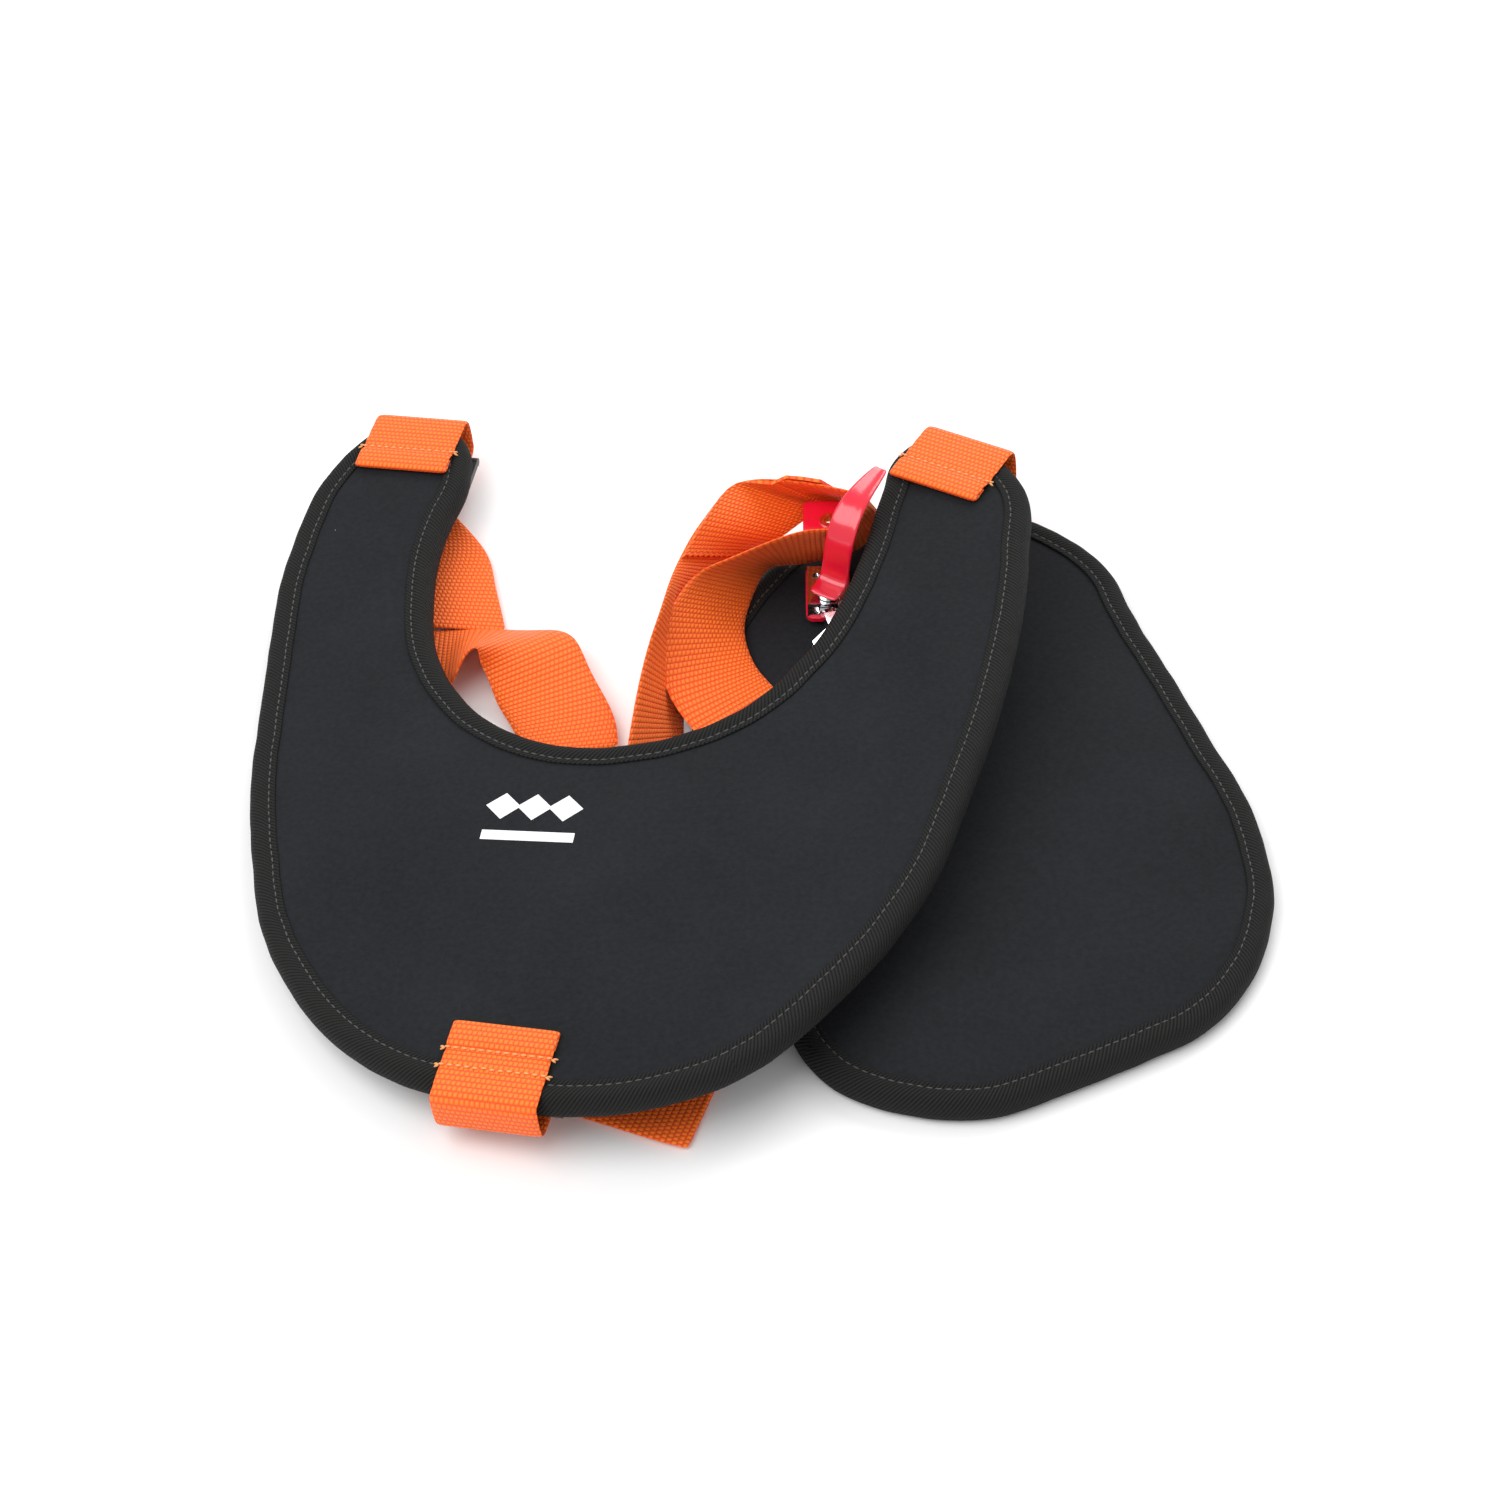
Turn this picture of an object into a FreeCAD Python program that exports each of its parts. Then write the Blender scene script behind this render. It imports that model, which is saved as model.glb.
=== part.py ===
"""Shoulder harness for a brush cutter, folded and lying on a flat surface.

Millimetres. +X is to the right, +Y runs from the yoke's rear edge to its horns and +Z is up.
The hip pad lies flat on the ground, the shoulder yoke leans over it and rises towards +X,
and the webbing, buckles and quick-release hook lie between and under the two pads.
"""
import FreeCAD, Part
import math
import os
from FreeCAD import Placement, Rotation, Vector

# ---------------------------------------------------------------- driving sizes
SIZES = {
    # whole pads
    "yoke_width": 291.0,            # across the widest part of the shoulder yoke
    "yoke_length": 350.0,           # from its rear edge to its horn tips
    "hip_width": 210.0,
    "hip_length": 295.0,
    "yoke_ramp": 0.11,              # rise of the yoke per mm towards +X
    "yoke_low_gap": 6.0,            # room under the yoke at its low left edge
    # cloth and foam layers
    "lining_thickness": 1.0,
    "yoke_foam": 6.2,
    "hip_foam": 5.0,
    "board_thickness": 1.5,
    "board_margin": 24.0,
    "face_thickness": 1.0,
    "binding_thickness": 0.8,
    "binding_width": 10.0,
    # webbing
    "webbing_width": 38.0,
    "webbing_thickness": 1.4,
    "loop_reach": 30.0,             # from the pad's edge back to the sewn hem
    "loop_hem": 1.4,                # folded-over hem on each loop's top end
    "loop_gap": 0.4,                # room between webbing and a buckle bar
    # ladder-lock buckles
    "bar_radius": 1.7,
    "bar_inset": 8.0,               # hinge bar, in from the pad's edge
    "bar_drop": 3.4,                # hinge bar, below the pad's underside
    "buckle_thickness": 2.6,
    "buckle_length": 23.5,
    "slot_side_room": 1.0,
    "buckle_rail": 3.5,
    "first_slot": 10.5,
    "middle_bar": 3.5,
    "end_bar": 4.0,
    # quick release and hook
    "pin_radius": 2.5,
    "running_gap": 0.08,
    "eye_thickness": 3.0,
    "plate_thickness": 1.5,
    "vinyl_thickness": 1.6,
    "hook_thickness": 6.0,
    "hook_wire": 6.0,
    "stud_radius": 1.5,
    "gate_pin_radius": 1.2,
    "gate_thickness": 3.0,
    "spring_height": 1.2,
    "fork_width": 16.0,
    "tab_width": 12.0,
    # where the middle of the ground outline lies
    "layout_x": 2.2,
    "layout_y": -11.8,
}

doc = FreeCAD.newDocument("brush_cutter_harness")
sheet = doc.addObject("Spreadsheet::Sheet", "Sizes")
for row, (alias, value) in enumerate(SIZES.items(), start=1):
    sheet.set("A%d" % row, alias)
    sheet.set("B%d" % row, str(value))
    sheet.setAlias("B%d" % row, alias)
doc.recompute()


def size(alias):
    """One driving size, read from the sheet."""
    return float(sheet.get(alias))


SHIFT = Vector(-size("layout_x"), -size("layout_y"), 0)
WIDTH = size("webbing_width")
WEB = size("webbing_thickness")
BIND = size("binding_thickness")
SCALE_X = size("yoke_width") / 291.0
SCALE_Y = size("yoke_length") / 350.0
HIP_X = size("hip_width") / 210.0
HIP_Y = size("hip_length") / 295.0
YOKE_CORE = size("lining_thickness") + size("yoke_foam") + size("face_thickness")
YOKE_THICK = YOKE_CORE + 2 * BIND
HIP_CORE = (size("lining_thickness") + size("board_thickness")
            + size("hip_foam") + size("face_thickness"))
HIP_THICK = HIP_CORE + 2 * BIND
YOKE_CENTRE = Vector(-38, 0, 0)
LEFT_REACH = 147.0

TILT = math.degrees(math.atan(size("yoke_ramp")))
YOKE_FRAME = Placement(
    SHIFT + YOKE_CENTRE + Vector(0, 0, size("yoke_low_gap") + size("yoke_ramp") * LEFT_REACH * SCALE_X),
    Rotation(Vector(0, 1, 0), -TILT))
HIP_FRAME = Placement(SHIFT, Rotation())
SUBPARTS = []

# ---------------------------------------------------------------- outlines
# Points on each pad's outer edge, clockwise seen from above, at the sizes named above.
YOKE_EDGE = [
    (-110, 160), (-121, 150), (-132, 132), (-142, 92), (-145.5, 25), (-143, -56), (-130, -112),
    (-98, -158), (-45, -184), (-8, -189), (35, -178), (70, -147), (98, -109), (120, -53),
    (137, 8), (145, 60), (145.5, 95), (139, 109), (124, 121), (110, 128), (98, 121),
    (89, 96), (80, 62), (61, 18), (35, -11), (0, -24), (-31, -22), (-58, -6), (-77, 24),
    (-83, 60), (-80, 97), (-72.5, 127), (-73, 144), (-80, 155), (-94, 160.5),
]
HIP_EDGE = [
    (108, 118), (135, 97), (152, 54), (170, 5), (186, -45), (187, -86), (168, -128),
    (125, -156), (66, -175), (30, -163), (5, -120), (-14, -60), (-22, 5), (-8, 65),
    (25, 108), (68, 122),
]


def flat(x, y):
    return Vector(x, y, 0)


def circle_tangent(before, here, after):
    """Direction at a point of the circle through it and its two neighbours."""
    back = here - before
    ahead = after - here
    direction = back * (ahead.Length / back.Length) + ahead * (back.Length / ahead.Length)
    return direction.normalize()


def arc_from(start, direction, end):
    """The arc, or line, that leaves start along a direction and reaches end."""
    chord = end - start
    turn = direction.cross(chord).z / chord.Length
    if abs(turn) < 1e-4:
        return Part.LineSegment(start, end)
    half = math.asin(max(-1.0, min(1.0, turn)))
    side = Vector(chord.y, -chord.x, 0).normalize()
    middle = (start + end) * 0.5 + side * (chord.Length / 2 * math.tan(half / 2))
    return Part.Arc(start, middle, end)


def smooth_outline(points):
    """Closed chain of tangent arcs, two between each pair of neighbouring points."""
    knots = [flat(*point) for point in points]
    count = len(knots)
    tangents = [circle_tangent(knots[i - 1], knots[i], knots[(i + 1) % count]) for i in range(count)]
    arcs = []
    for i in range(count):
        start, end = knots[i], knots[(i + 1) % count]
        leave, arrive = tangents[i], tangents[(i + 1) % count]
        chord = end - start
        both = leave + arrive
        spread = 2 * (1 - leave.dot(arrive))
        if spread < 1e-6:
            reach = chord.dot(chord) / (4 * chord.dot(arrive))
        else:
            along = chord.dot(both)
            reach = (math.sqrt(along * along + spread * chord.dot(chord)) - along) / spread
        joint = (start + end + (leave - arrive) * reach) * 0.5
        join_direction = (end - arrive * reach) - (start + leave * reach)
        arcs.append(arc_from(start, leave, joint))
        arcs.append(arc_from(joint, join_direction.normalize(), end))
    return Part.Wire([arc.toShape() for arc in arcs])


def inset(wire, distance):
    """The outline moved in by a distance."""
    return Part.Face(wire).makeOffset2D(-distance).Wires[0]


def add_wire(sketch, wire):
    """Copies a wire of lines and arcs into a sketch."""
    for edge in wire.Edges:
        first, last = edge.ParameterRange
        start = edge.valueAt(first)
        end = edge.valueAt(last)
        if isinstance(edge.Curve, Part.Line):
            sketch.addGeometry(Part.LineSegment(start, end), False)
        else:
            sketch.addGeometry(Part.Arc(start, edge.valueAt((first + last) / 2), end), False)


# ---------------------------------------------------------------- feature helpers
def new_body(label, placement):
    body = doc.addObject("PartDesign::Body", label)
    body.Label = label
    body.Placement = placement
    SUBPARTS.append(body)
    return body


def new_sketch(body, name, plane, height=None):
    """Sketch on one of the body's origin planes, raised by an expression if given."""
    sketch = body.newObject("Sketcher::SketchObject", name)
    support = [f for f in body.Origin.OriginFeatures if f.Role == plane][0]
    sketch.AttachmentSupport = [(support, "")]
    sketch.MapMode = "FlatFace"
    if height is not None:
        sketch.setExpression("AttachmentOffset.Base.z", height)
    return sketch


def new_pad(body, sketch, length, midplane=False):
    pad = body.newObject("PartDesign::Pad", body.Name + "_pad")
    pad.Profile = sketch
    pad.Midplane = midplane
    pad.setExpression("Length", length)
    return pad


def new_pocket(body, sketch, length, midplane=False, upward=False):
    """Cuts a sketch out of a body, and stops if it removed nothing."""
    doc.recompute()
    before = body.Shape.Volume
    pocket = body.newObject("PartDesign::Pocket", body.Name + "_pocket")
    pocket.Profile = sketch
    pocket.Midplane = midplane
    pocket.Reversed = upward
    pocket.setExpression("Length", length)
    doc.recompute()
    if body.Shape.Volume > before - 0.5:
        raise RuntimeError("a pocket cut nothing from " + body.Label)
    return pocket


def rectangle(sketch, low_x, low_y, high_x, high_y):
    corners = [flat(low_x, low_y), flat(high_x, low_y), flat(high_x, high_y), flat(low_x, high_y)]
    for i in range(4):
        sketch.addGeometry(Part.LineSegment(corners[i - 1], corners[i]), False)


def circle(sketch, x, y, radius):
    sketch.addGeometry(Part.Circle(flat(x, y), Vector(0, 0, 1), radius), False)


def add_shape(label, shape, placement=None):
    """A sub-part whose shape comes from Part's own functions."""
    feature = doc.addObject("Part::Feature", label)
    feature.Label = label
    feature.Shape = shape
    feature.Placement = placement or Placement()
    SUBPARTS.append(feature)
    return feature


# ---------------------------------------------------------------- pads
def layer(label, outline, frame, height, thickness):
    """One flat layer of a pad, from an outline, a height and a thickness."""
    body = new_body(label, frame)
    sketch = new_sketch(body, label + "_outline", "XY_Plane", height)
    add_wire(sketch, outline)
    new_pad(body, sketch, thickness)
    return body


def edge_binding(label, edge, frame, core):
    """Tape folded round a pad's edge: a U section that follows the outline."""
    body = new_body(label, frame)
    whole = new_sketch(body, label + "_edge", "XY_Plane")
    add_wire(whole, edge)
    new_pad(body, whole, core + " + 2 * Sizes.binding_thickness")
    hole = new_sketch(body, label + "_hole", "XY_Plane")
    add_wire(hole, inset(edge, size("binding_width")))
    new_pocket(body, hole, core + " + 2 * Sizes.binding_thickness", upward=True)
    seat = new_sketch(body, label + "_seat", "XY_Plane", "Sizes.binding_thickness")
    add_wire(seat, inset(edge, BIND))
    new_pocket(body, seat, core, upward=True)
    return body


yoke_edge = smooth_outline([(x * SCALE_X, y * SCALE_Y) for x, y in YOKE_EDGE])
yoke_core_edge = inset(yoke_edge, BIND)
layer("yoke_back_lining", yoke_core_edge, YOKE_FRAME, "Sizes.binding_thickness", "Sizes.lining_thickness")
layer("yoke_foam_core", yoke_core_edge, YOKE_FRAME,
      "Sizes.binding_thickness + Sizes.lining_thickness", "Sizes.yoke_foam")
layer("yoke_face_fabric", yoke_core_edge, YOKE_FRAME,
      "Sizes.binding_thickness + Sizes.lining_thickness + Sizes.yoke_foam", "Sizes.face_thickness")
edge_binding("yoke_edge_binding", yoke_edge, YOKE_FRAME,
             "Sizes.lining_thickness + Sizes.yoke_foam + Sizes.face_thickness")

hip_edge = smooth_outline([(x * HIP_X, y * HIP_Y) for x, y in HIP_EDGE])
hip_core_edge = inset(hip_edge, BIND)
HIP_BOARD = "Sizes.binding_thickness + Sizes.lining_thickness"
layer("hip_back_lining", hip_core_edge, HIP_FRAME, "Sizes.binding_thickness", "Sizes.lining_thickness")
layer("hip_stiffener_board", inset(hip_edge, size("board_margin")), HIP_FRAME,
      HIP_BOARD, "Sizes.board_thickness")
hip_foam = layer("hip_foam_core", hip_core_edge, HIP_FRAME,
                 HIP_BOARD, "Sizes.board_thickness + Sizes.hip_foam")
board_seat = new_sketch(hip_foam, "board_seat", "XY_Plane", HIP_BOARD)
add_wire(board_seat, inset(hip_edge, size("board_margin")))
new_pocket(hip_foam, board_seat, "Sizes.board_thickness", upward=True)
layer("hip_face_fabric", hip_core_edge, HIP_FRAME,
      HIP_BOARD + " + Sizes.board_thickness + Sizes.hip_foam", "Sizes.face_thickness")
edge_binding("hip_edge_binding", hip_edge, HIP_FRAME,
             "Sizes.lining_thickness + Sizes.board_thickness + Sizes.hip_foam + Sizes.face_thickness")


# ---------------------------------------------------------------- bands of webbing
def shifted(points, distance):
    """A polyline moved sideways to its left, with mitred corners."""
    moved = []
    for i, point in enumerate(points):
        directions = []
        if i > 0:
            directions.append((point - points[i - 1]).normalize())
        if i < len(points) - 1:
            directions.append((points[i + 1] - point).normalize())
        normals = [Vector(-d.y, d.x, 0) for d in directions]
        mean = sum(normals[1:], normals[0]).normalize()
        moved.append(point + mean * (distance / mean.dot(normals[0])))
    return moved


def rounded(points, radii):
    """Lines and tangent arcs along a polyline, with one radius per inner corner."""
    pieces = []
    start = points[0]
    for i, radius in enumerate(radii, start=1):
        into = (points[i] - points[i - 1]).normalize()
        out = (points[i + 1] - points[i]).normalize()
        half = into.getAngle(out) / 2
        cut = radius * math.tan(half)
        first = points[i] - into * cut
        last = points[i] + out * cut
        bisector = (out - into).normalize()
        middle = points[i] + bisector * (radius / math.cos(half) - radius)
        pieces.append(Part.LineSegment(start, first))
        pieces.append(Part.Arc(first, middle, last))
        start = last
    pieces.append(Part.LineSegment(start, points[-1]))
    return pieces


def band_outline(path, radii, thickness):
    """Closed outline of a band of even thickness that follows a rounded path."""
    points = [flat(*point) for point in path]
    half = thickness / 2
    turns = []
    for i in range(1, len(points) - 1):
        cross = (points[i] - points[i - 1]).cross(points[i + 1] - points[i]).z
        turns.append(1 if cross > 0 else -1)
    left = rounded(shifted(points, half), [r - half * t for r, t in zip(radii, turns)])
    right = rounded(shifted(points, -half), [r + half * t for r, t in zip(radii, turns)])
    caps = [Part.LineSegment(left[0].StartPoint, right[0].StartPoint),
            Part.LineSegment(left[-1].EndPoint, right[-1].EndPoint)]
    return left + right + caps


def loop_frame(x, y, turn):
    """Frame of a sewn loop: +Y leaves the pad at its edge, +Z is the pad's own normal."""
    local = Placement(Vector(x * SCALE_X, y * SCALE_Y, 0), Rotation(Vector(0, 0, 1), turn))
    return YOKE_FRAME.multiply(local)


LOOPS = {
    "left": loop_frame(-93.0, 160.8, -13.2),
    "right": loop_frame(125.3, 121.8, -31.0),
    "back": loop_frame(-50.0, -184.5, 167.0),
}


def webbing_loop(label, frame):
    """Loop sewn to the pad's top, over its edge, under a buckle's bar and back to the underside."""
    reach = size("loop_reach")
    top = YOKE_THICK + WEB / 2 + 0.1
    below = -size("bar_drop") - size("bar_radius") - size("loop_gap") - WEB / 2
    front = 2.2
    inset_bar = size("bar_inset")
    path = [(-reach, top), (front, top), (front, below), (-inset_bar - 2.5, below),
            (-inset_bar - 9.0, -WEB / 2 - 0.1), (-reach + 8, -WEB / 2 - 0.1)]
    body = new_body(label, frame)
    sketch = new_sketch(body, label + "_side", "YZ_Plane")
    for piece in band_outline(path, [2.4, 4.0, 3.0, 3.0], WEB):
        sketch.addGeometry(piece, False)
    new_pad(body, sketch, "Sizes.webbing_width", midplane=True)
    hem = new_sketch(body, label + "_hem", "YZ_Plane")
    rectangle(hem, -reach, top + WEB / 2, -reach + 9.0, top + WEB / 2 + size("loop_hem"))
    new_pad(body, hem, "Sizes.webbing_width", midplane=True)
    return body


for side, frame in LOOPS.items():
    webbing_loop("webbing_loop_" + side, frame)


# ---------------------------------------------------------------- ladder-lock buckles
def ladder_lock(label, frame):
    """Plate with a round hinge bar at its origin and two slots; it extends along -Y."""
    side = WIDTH / 2 + size("slot_side_room")
    outer = side + size("buckle_rail")
    length = size("buckle_length")
    second = size("first_slot") + size("middle_bar")
    body = new_body(label, frame)
    plate = new_sketch(body, label + "_plate", "XY_Plane")
    corner = 3.0
    path = [flat(0, 0), flat(outer, 0), flat(outer, -length), flat(-outer, -length),
            flat(-outer, 0), flat(0, 0)]
    for piece in rounded(path, [1.2, corner, corner, 1.2]):
        plate.addGeometry(piece, False)
    rectangle(plate, -side, -size("first_slot"), side, -0.5)
    rectangle(plate, -side, -length + size("end_bar"), side, -second)
    new_pad(body, plate, "Sizes.buckle_thickness", midplane=True)
    bar = new_sketch(body, label + "_bar", "YZ_Plane")
    circle(bar, 0, 0, size("bar_radius"))
    bar_length = "Sizes.webbing_width + 2 * Sizes.slot_side_room + 2 * Sizes.buckle_rail"
    new_pad(body, bar, bar_length, midplane=True)
    return body


def buckle_frame(side, droop):
    """The hinge bar's frame under a loop, with the buckle's free end turned down by droop."""
    local = Placement(Vector(0, -size("bar_inset"), -size("bar_drop")), Rotation(Vector(1, 0, 0), droop))
    return LOOPS[side].multiply(local)


BUCKLES = {
    "left": buckle_frame("left", 4.0),
    "right": buckle_frame("right", 14.0),
    "back": buckle_frame("back", 9.0),
}
for side, frame in BUCKLES.items():
    ladder_lock("ladder_lock_" + side, frame)


# ---------------------------------------------------------------- straps
def station(near, far):
    """A ribbon's centre and width direction: it ends on the far edge and points to the near one."""
    near = Vector(near[0] * SCALE_X, near[1] * SCALE_Y, near[2])
    far = Vector(far[0] * SCALE_X, far[1] * SCALE_Y, far[2])
    across = (far - near).normalize()
    return (far - across * (WIDTH / 2) + SHIFT, across)


def hairpin(frame, tail):
    """Webbing folded round a buckle's end bar: tail on top, working leg below, both towards -Y."""
    half = size("buckle_thickness") / 2 + size("loop_gap") + WEB / 2
    bend = -size("buckle_length") + size("end_bar") + half * 0.4
    end = -size("buckle_length")
    spots = [(end - tail, half), (end - tail / 2, half), (end, half), (bend, half)]
    for eighths in (1, 2, 3):
        angle = eighths * math.pi / 4
        spots.append((bend + half * math.sin(angle), half * math.cos(angle)))
    spots += [(bend, -half), (end, -half), (end - 6.0, -half)]
    across = frame.Rotation.multVec(Vector(1, 0, 0))
    return [(frame.multVec(Vector(0, y, z)), across) for y, z in spots]


def between(before, here, after, beyond, share):
    """Catmull-Rom point between here and after."""
    square = share * share
    cube = square * share
    return (here * 2 + (after - before) * share
            + (before * 2 - here * 5 + after * 4 - beyond) * square
            + (here * 3 - before - after * 3 + beyond) * cube) * 0.5


def ribbon(stations, steps=3):
    """Solid strap of the webbing's width and thickness through a list of stations."""
    centres = [centre for centre, across in stations]
    widths = [across for centre, across in stations]
    last = len(stations) - 1
    fine = []
    for i in range(last):
        ring = [max(i - 1, 0), i, i + 1, min(i + 2, last)]
        for step in range(steps):
            share = step / steps
            centre = between(*[centres[k] for k in ring], share)
            across = between(*[widths[k] for k in ring], share).normalize()
            fine.append((centre, across))
    fine.append(stations[-1])
    sections = []
    for i, (centre, across) in enumerate(fine):
        ahead = fine[min(i + 1, len(fine) - 1)][0] - fine[max(i - 1, 0)][0]
        normal = across.cross(ahead).normalize()
        wide, thick = across * (WIDTH / 2), normal * (WEB / 2)
        corners = [centre - wide - thick, centre + wide - thick, centre + wide + thick, centre - wide + thick]
        sections.append(Part.makePolygon(corners + corners[:1]))
    return Part.makeLoft(sections, True, True)


# Each pair holds the strap's two edges at one place, near edge first, at the named sizes.
left_tail = [
    station((-132, 62, 3.5), (-94, 60, 2.5)),
    station((-137, 84, 3.5), (-99, 83, 3.5)),
    station((-142, 104, 3.5), (-104, 104, 3.5)),
]
left_run = [
    station((-176, 62, 1.6), (-139, 70, 1.6)),
    station((-156, 30, 1.6), (-138, 62, 1.6)),
    station((-131, 26, 2.0), (-127, 62, 1.6)),
    station((-116, 30, 4.5), (-116, 62, 1.6)),
    station((-107, 36, 17), (-106, 62, 1.8)),
    station((-100, 36, 19), (-87, 60, 3)),
    station((-98, 31, 12), (-68, 49, 12)),
    station((-93, 20, 5), (-60, 32, 9)),
    station((-88, 6, 2.5), (-51, 12, 6)),
    station((-87, -6, 3.2), (-49, -3, 5)),
]
add_shape("strap_left", ribbon(left_tail + hairpin(BUCKLES["left"], 4.0) + left_run))

FRONT_BUCKLE = Placement(Vector(-67.0 * SCALE_X, -12.0 * SCALE_Y, 4.4) + SHIFT,
                         Rotation(Vector(0, 0, 1), 4.0))
ladder_lock("ladder_lock_front", FRONT_BUCKLE)
front_run = [
    station((-84, -66, 3.5), (-47, -58, 3.5)),
    station((-72, -92, 6), (-38, -76, 8)),
    station((-46, -114, 12), (-20, -88, 12)),
    station((-24, -112, 12.5), (-14, -76, 12)),
]
add_shape("strap_front", ribbon(hairpin(FRONT_BUCKLE, 14.0) + front_run))

right_run = [
    station((50, 62, 16), (86, 54, 15)),
    station((55, 42, 11.5), (93, 38, 11.5)),
    station((58, 28, 11.5), (96, 25, 11.5)),
]
add_shape("strap_right", ribbon(hairpin(BUCKLES["right"], 12.0) + right_run))

back_run = [
    station((-47, -124, 2.0), (-84, -116, 2.0)),
]
add_shape("strap_back", ribbon(hairpin(BUCKLES["back"], 10.0) + back_run))
tail_run = [
    station((-47.5, -136, 1.2), (-60.4, -171.6, 1.2)),
    station((-33.5, -141.5, 1.2), (-46.5, -177.2, 1.6)),
    station((-20, -147, 1.2), (-32.5, -182.8, 2.0)),
    station((-8, -150.5, 1.2), (-21, -186.2, 1.8)),
]
add_shape("strap_tail", ribbon(tail_run))

hook_run = [
    station((-40, -16, 17), (-25, 2, 1.6)),
    station((-36, 17, 26), (-25, 29, 2)),
    station((-31, 40, 32), (-24, 52, 6)),
    station((-26, 67, 36), (-3, 88, 16)),
    station((-15, 85, 38), (12, 96, 20)),
    station((-4, 105, 38), (27, 109, 20)),
    station((18, 106, 37), (38, 117, 15)),
    station((40, 100.5, 37), (47, 118.5, 12)),
    station((46, 94, 38), (53, 112, 12)),
    station((42, 86, 38), (49, 104, 12)),
    station((37, 78, 38), (39, 94, 12)),
    station((19, 75, 37), (21, 88, 12)),
    station((-4, 67, 35), (8, 86, 12)),
    station((-19, 58, 33), (2, 73, 11.6)),
    station((-28, 40, 27), (-2, 53, 11.6)),
    station((-24, 24, 16), (1, 36, 11.6)),
    station((-19, 1, 12.0), (8, 23, 11.6)),
    station((-6, -14, 11.6), (21, 8, 11.6)),
]
add_shape("strap_hook_loop", ribbon(hook_run))

# ---------------------------------------------------------------- quick release
PIN = size("pin_radius")
GAP = size("running_gap")
EYE = size("eye_thickness")
PLATE = size("plate_thickness")
VINYL = size("vinyl_thickness")
RELEASE_HEIGHT = HIP_THICK + 8.4
RELEASE_POINT = Vector(30 * SCALE_X, 61 * SCALE_Y, RELEASE_HEIGHT) + SHIFT
FORK_GAP = 0.3
FORK_OUT = EYE / 2 + FORK_GAP + PLATE


def at_release(x, y, z):
    """Placement at a point measured from the middle of the release pin."""
    return Placement(RELEASE_POINT + Vector(x, y, z), Rotation())


def polygon(sketch, points):
    corners = [flat(*point) for point in points]
    for i in range(len(corners)):
        sketch.addGeometry(Part.LineSegment(corners[i - 1], corners[i]), False)


FORK_FRONT = -5.4
FORK_BACK = 15.5
RIVET_ROW = 10.3
RIVET_SIDE = 4.6
RIVET_RADIUS = 1.4
RIVET_HEAD = 2.4
RIVET_CAP = 0.8
inner = EYE / 2 + FORK_GAP
fork = new_body("release_fork", at_release(0, 0, 0))
profile = new_sketch(fork, "release_fork_side", "YZ_Plane")
polygon(profile, [(FORK_FRONT, -FORK_OUT), (FORK_BACK, -FORK_OUT), (FORK_BACK, FORK_OUT),
                  (FORK_FRONT, FORK_OUT), (FORK_FRONT, inner), (FORK_BACK - PLATE, inner),
                  (FORK_BACK - PLATE, -inner), (FORK_FRONT, -inner)])
new_pad(fork, profile, "Sizes.fork_width", midplane=True)
bores = new_sketch(fork, "release_fork_bores", "XY_Plane")
circle(bores, 0, 0, PIN + GAP)
for side in (-1, 1):
    circle(bores, side * RIVET_SIDE, RIVET_ROW, RIVET_RADIUS)
new_pocket(fork, bores, "4 * (Sizes.eye_thickness + 2 * Sizes.plate_thickness)", midplane=True)


def vinyl_leaf(label, frame, low_x, low_y, high_x, high_y, holes):
    """Flat red vinyl leaf with rounded corners and round holes given as (x, y, radius)."""
    body = new_body(label, frame)
    sketch = new_sketch(body, label + "_outline", "XY_Plane")
    middle = (low_x + high_x) / 2
    path = [flat(middle, low_y), flat(high_x, low_y), flat(high_x, high_y),
            flat(low_x, high_y), flat(low_x, low_y), flat(middle, low_y)]
    for piece in rounded(path, [3.0, 3.0, 3.0, 3.0]):
        sketch.addGeometry(piece, False)
    for x, y, radius in holes:
        circle(sketch, x, y, radius)
    new_pad(body, sketch, "Sizes.vinyl_thickness")
    return body


TONGUE_Z = -FORK_OUT - VINYL
RIVET_HOLES = [(-RIVET_SIDE, RIVET_ROW, RIVET_RADIUS), (RIVET_SIDE, RIVET_ROW, RIVET_RADIUS)]
vinyl_leaf("release_tongue", at_release(0, 0, TONGUE_Z), -8.5, -6.5, 8.5, 22.0,
           RIVET_HOLES + [(0, 0, PIN + 1.2)])
EYELET_RADIUS = 2.6
FLAP_POINT = at_release(-1.0, 26.0, 8.3)
vinyl_leaf("release_flap", FLAP_POINT, -8.5, 0.0, 8.5, 19.0, [(1.5, 8.0, EYELET_RADIUS)])


def revolved(label, frame, profile):
    """A turned piece about its own Z, from a closed (radius, height) profile."""
    body = new_body(label, frame)
    sketch = new_sketch(body, label + "_profile", "XZ_Plane")
    polygon(sketch, profile)
    turned = body.newObject("PartDesign::Revolution", label + "_turned")
    turned.Profile = sketch
    turned.ReferenceAxis = (sketch, ["V_Axis"])
    turned.Angle = 360
    return body


revolved("release_eyelet", FLAP_POINT.multiply(Placement(Vector(1.5, 8.0, 0), Rotation())),
         [(1.7, -0.5), (3.7, -0.5), (3.7, 0), (EYELET_RADIUS, 0), (EYELET_RADIUS, VINYL),
          (3.7, VINYL), (3.7, VINYL + 0.5), (1.7, VINYL + 0.5)])


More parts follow.
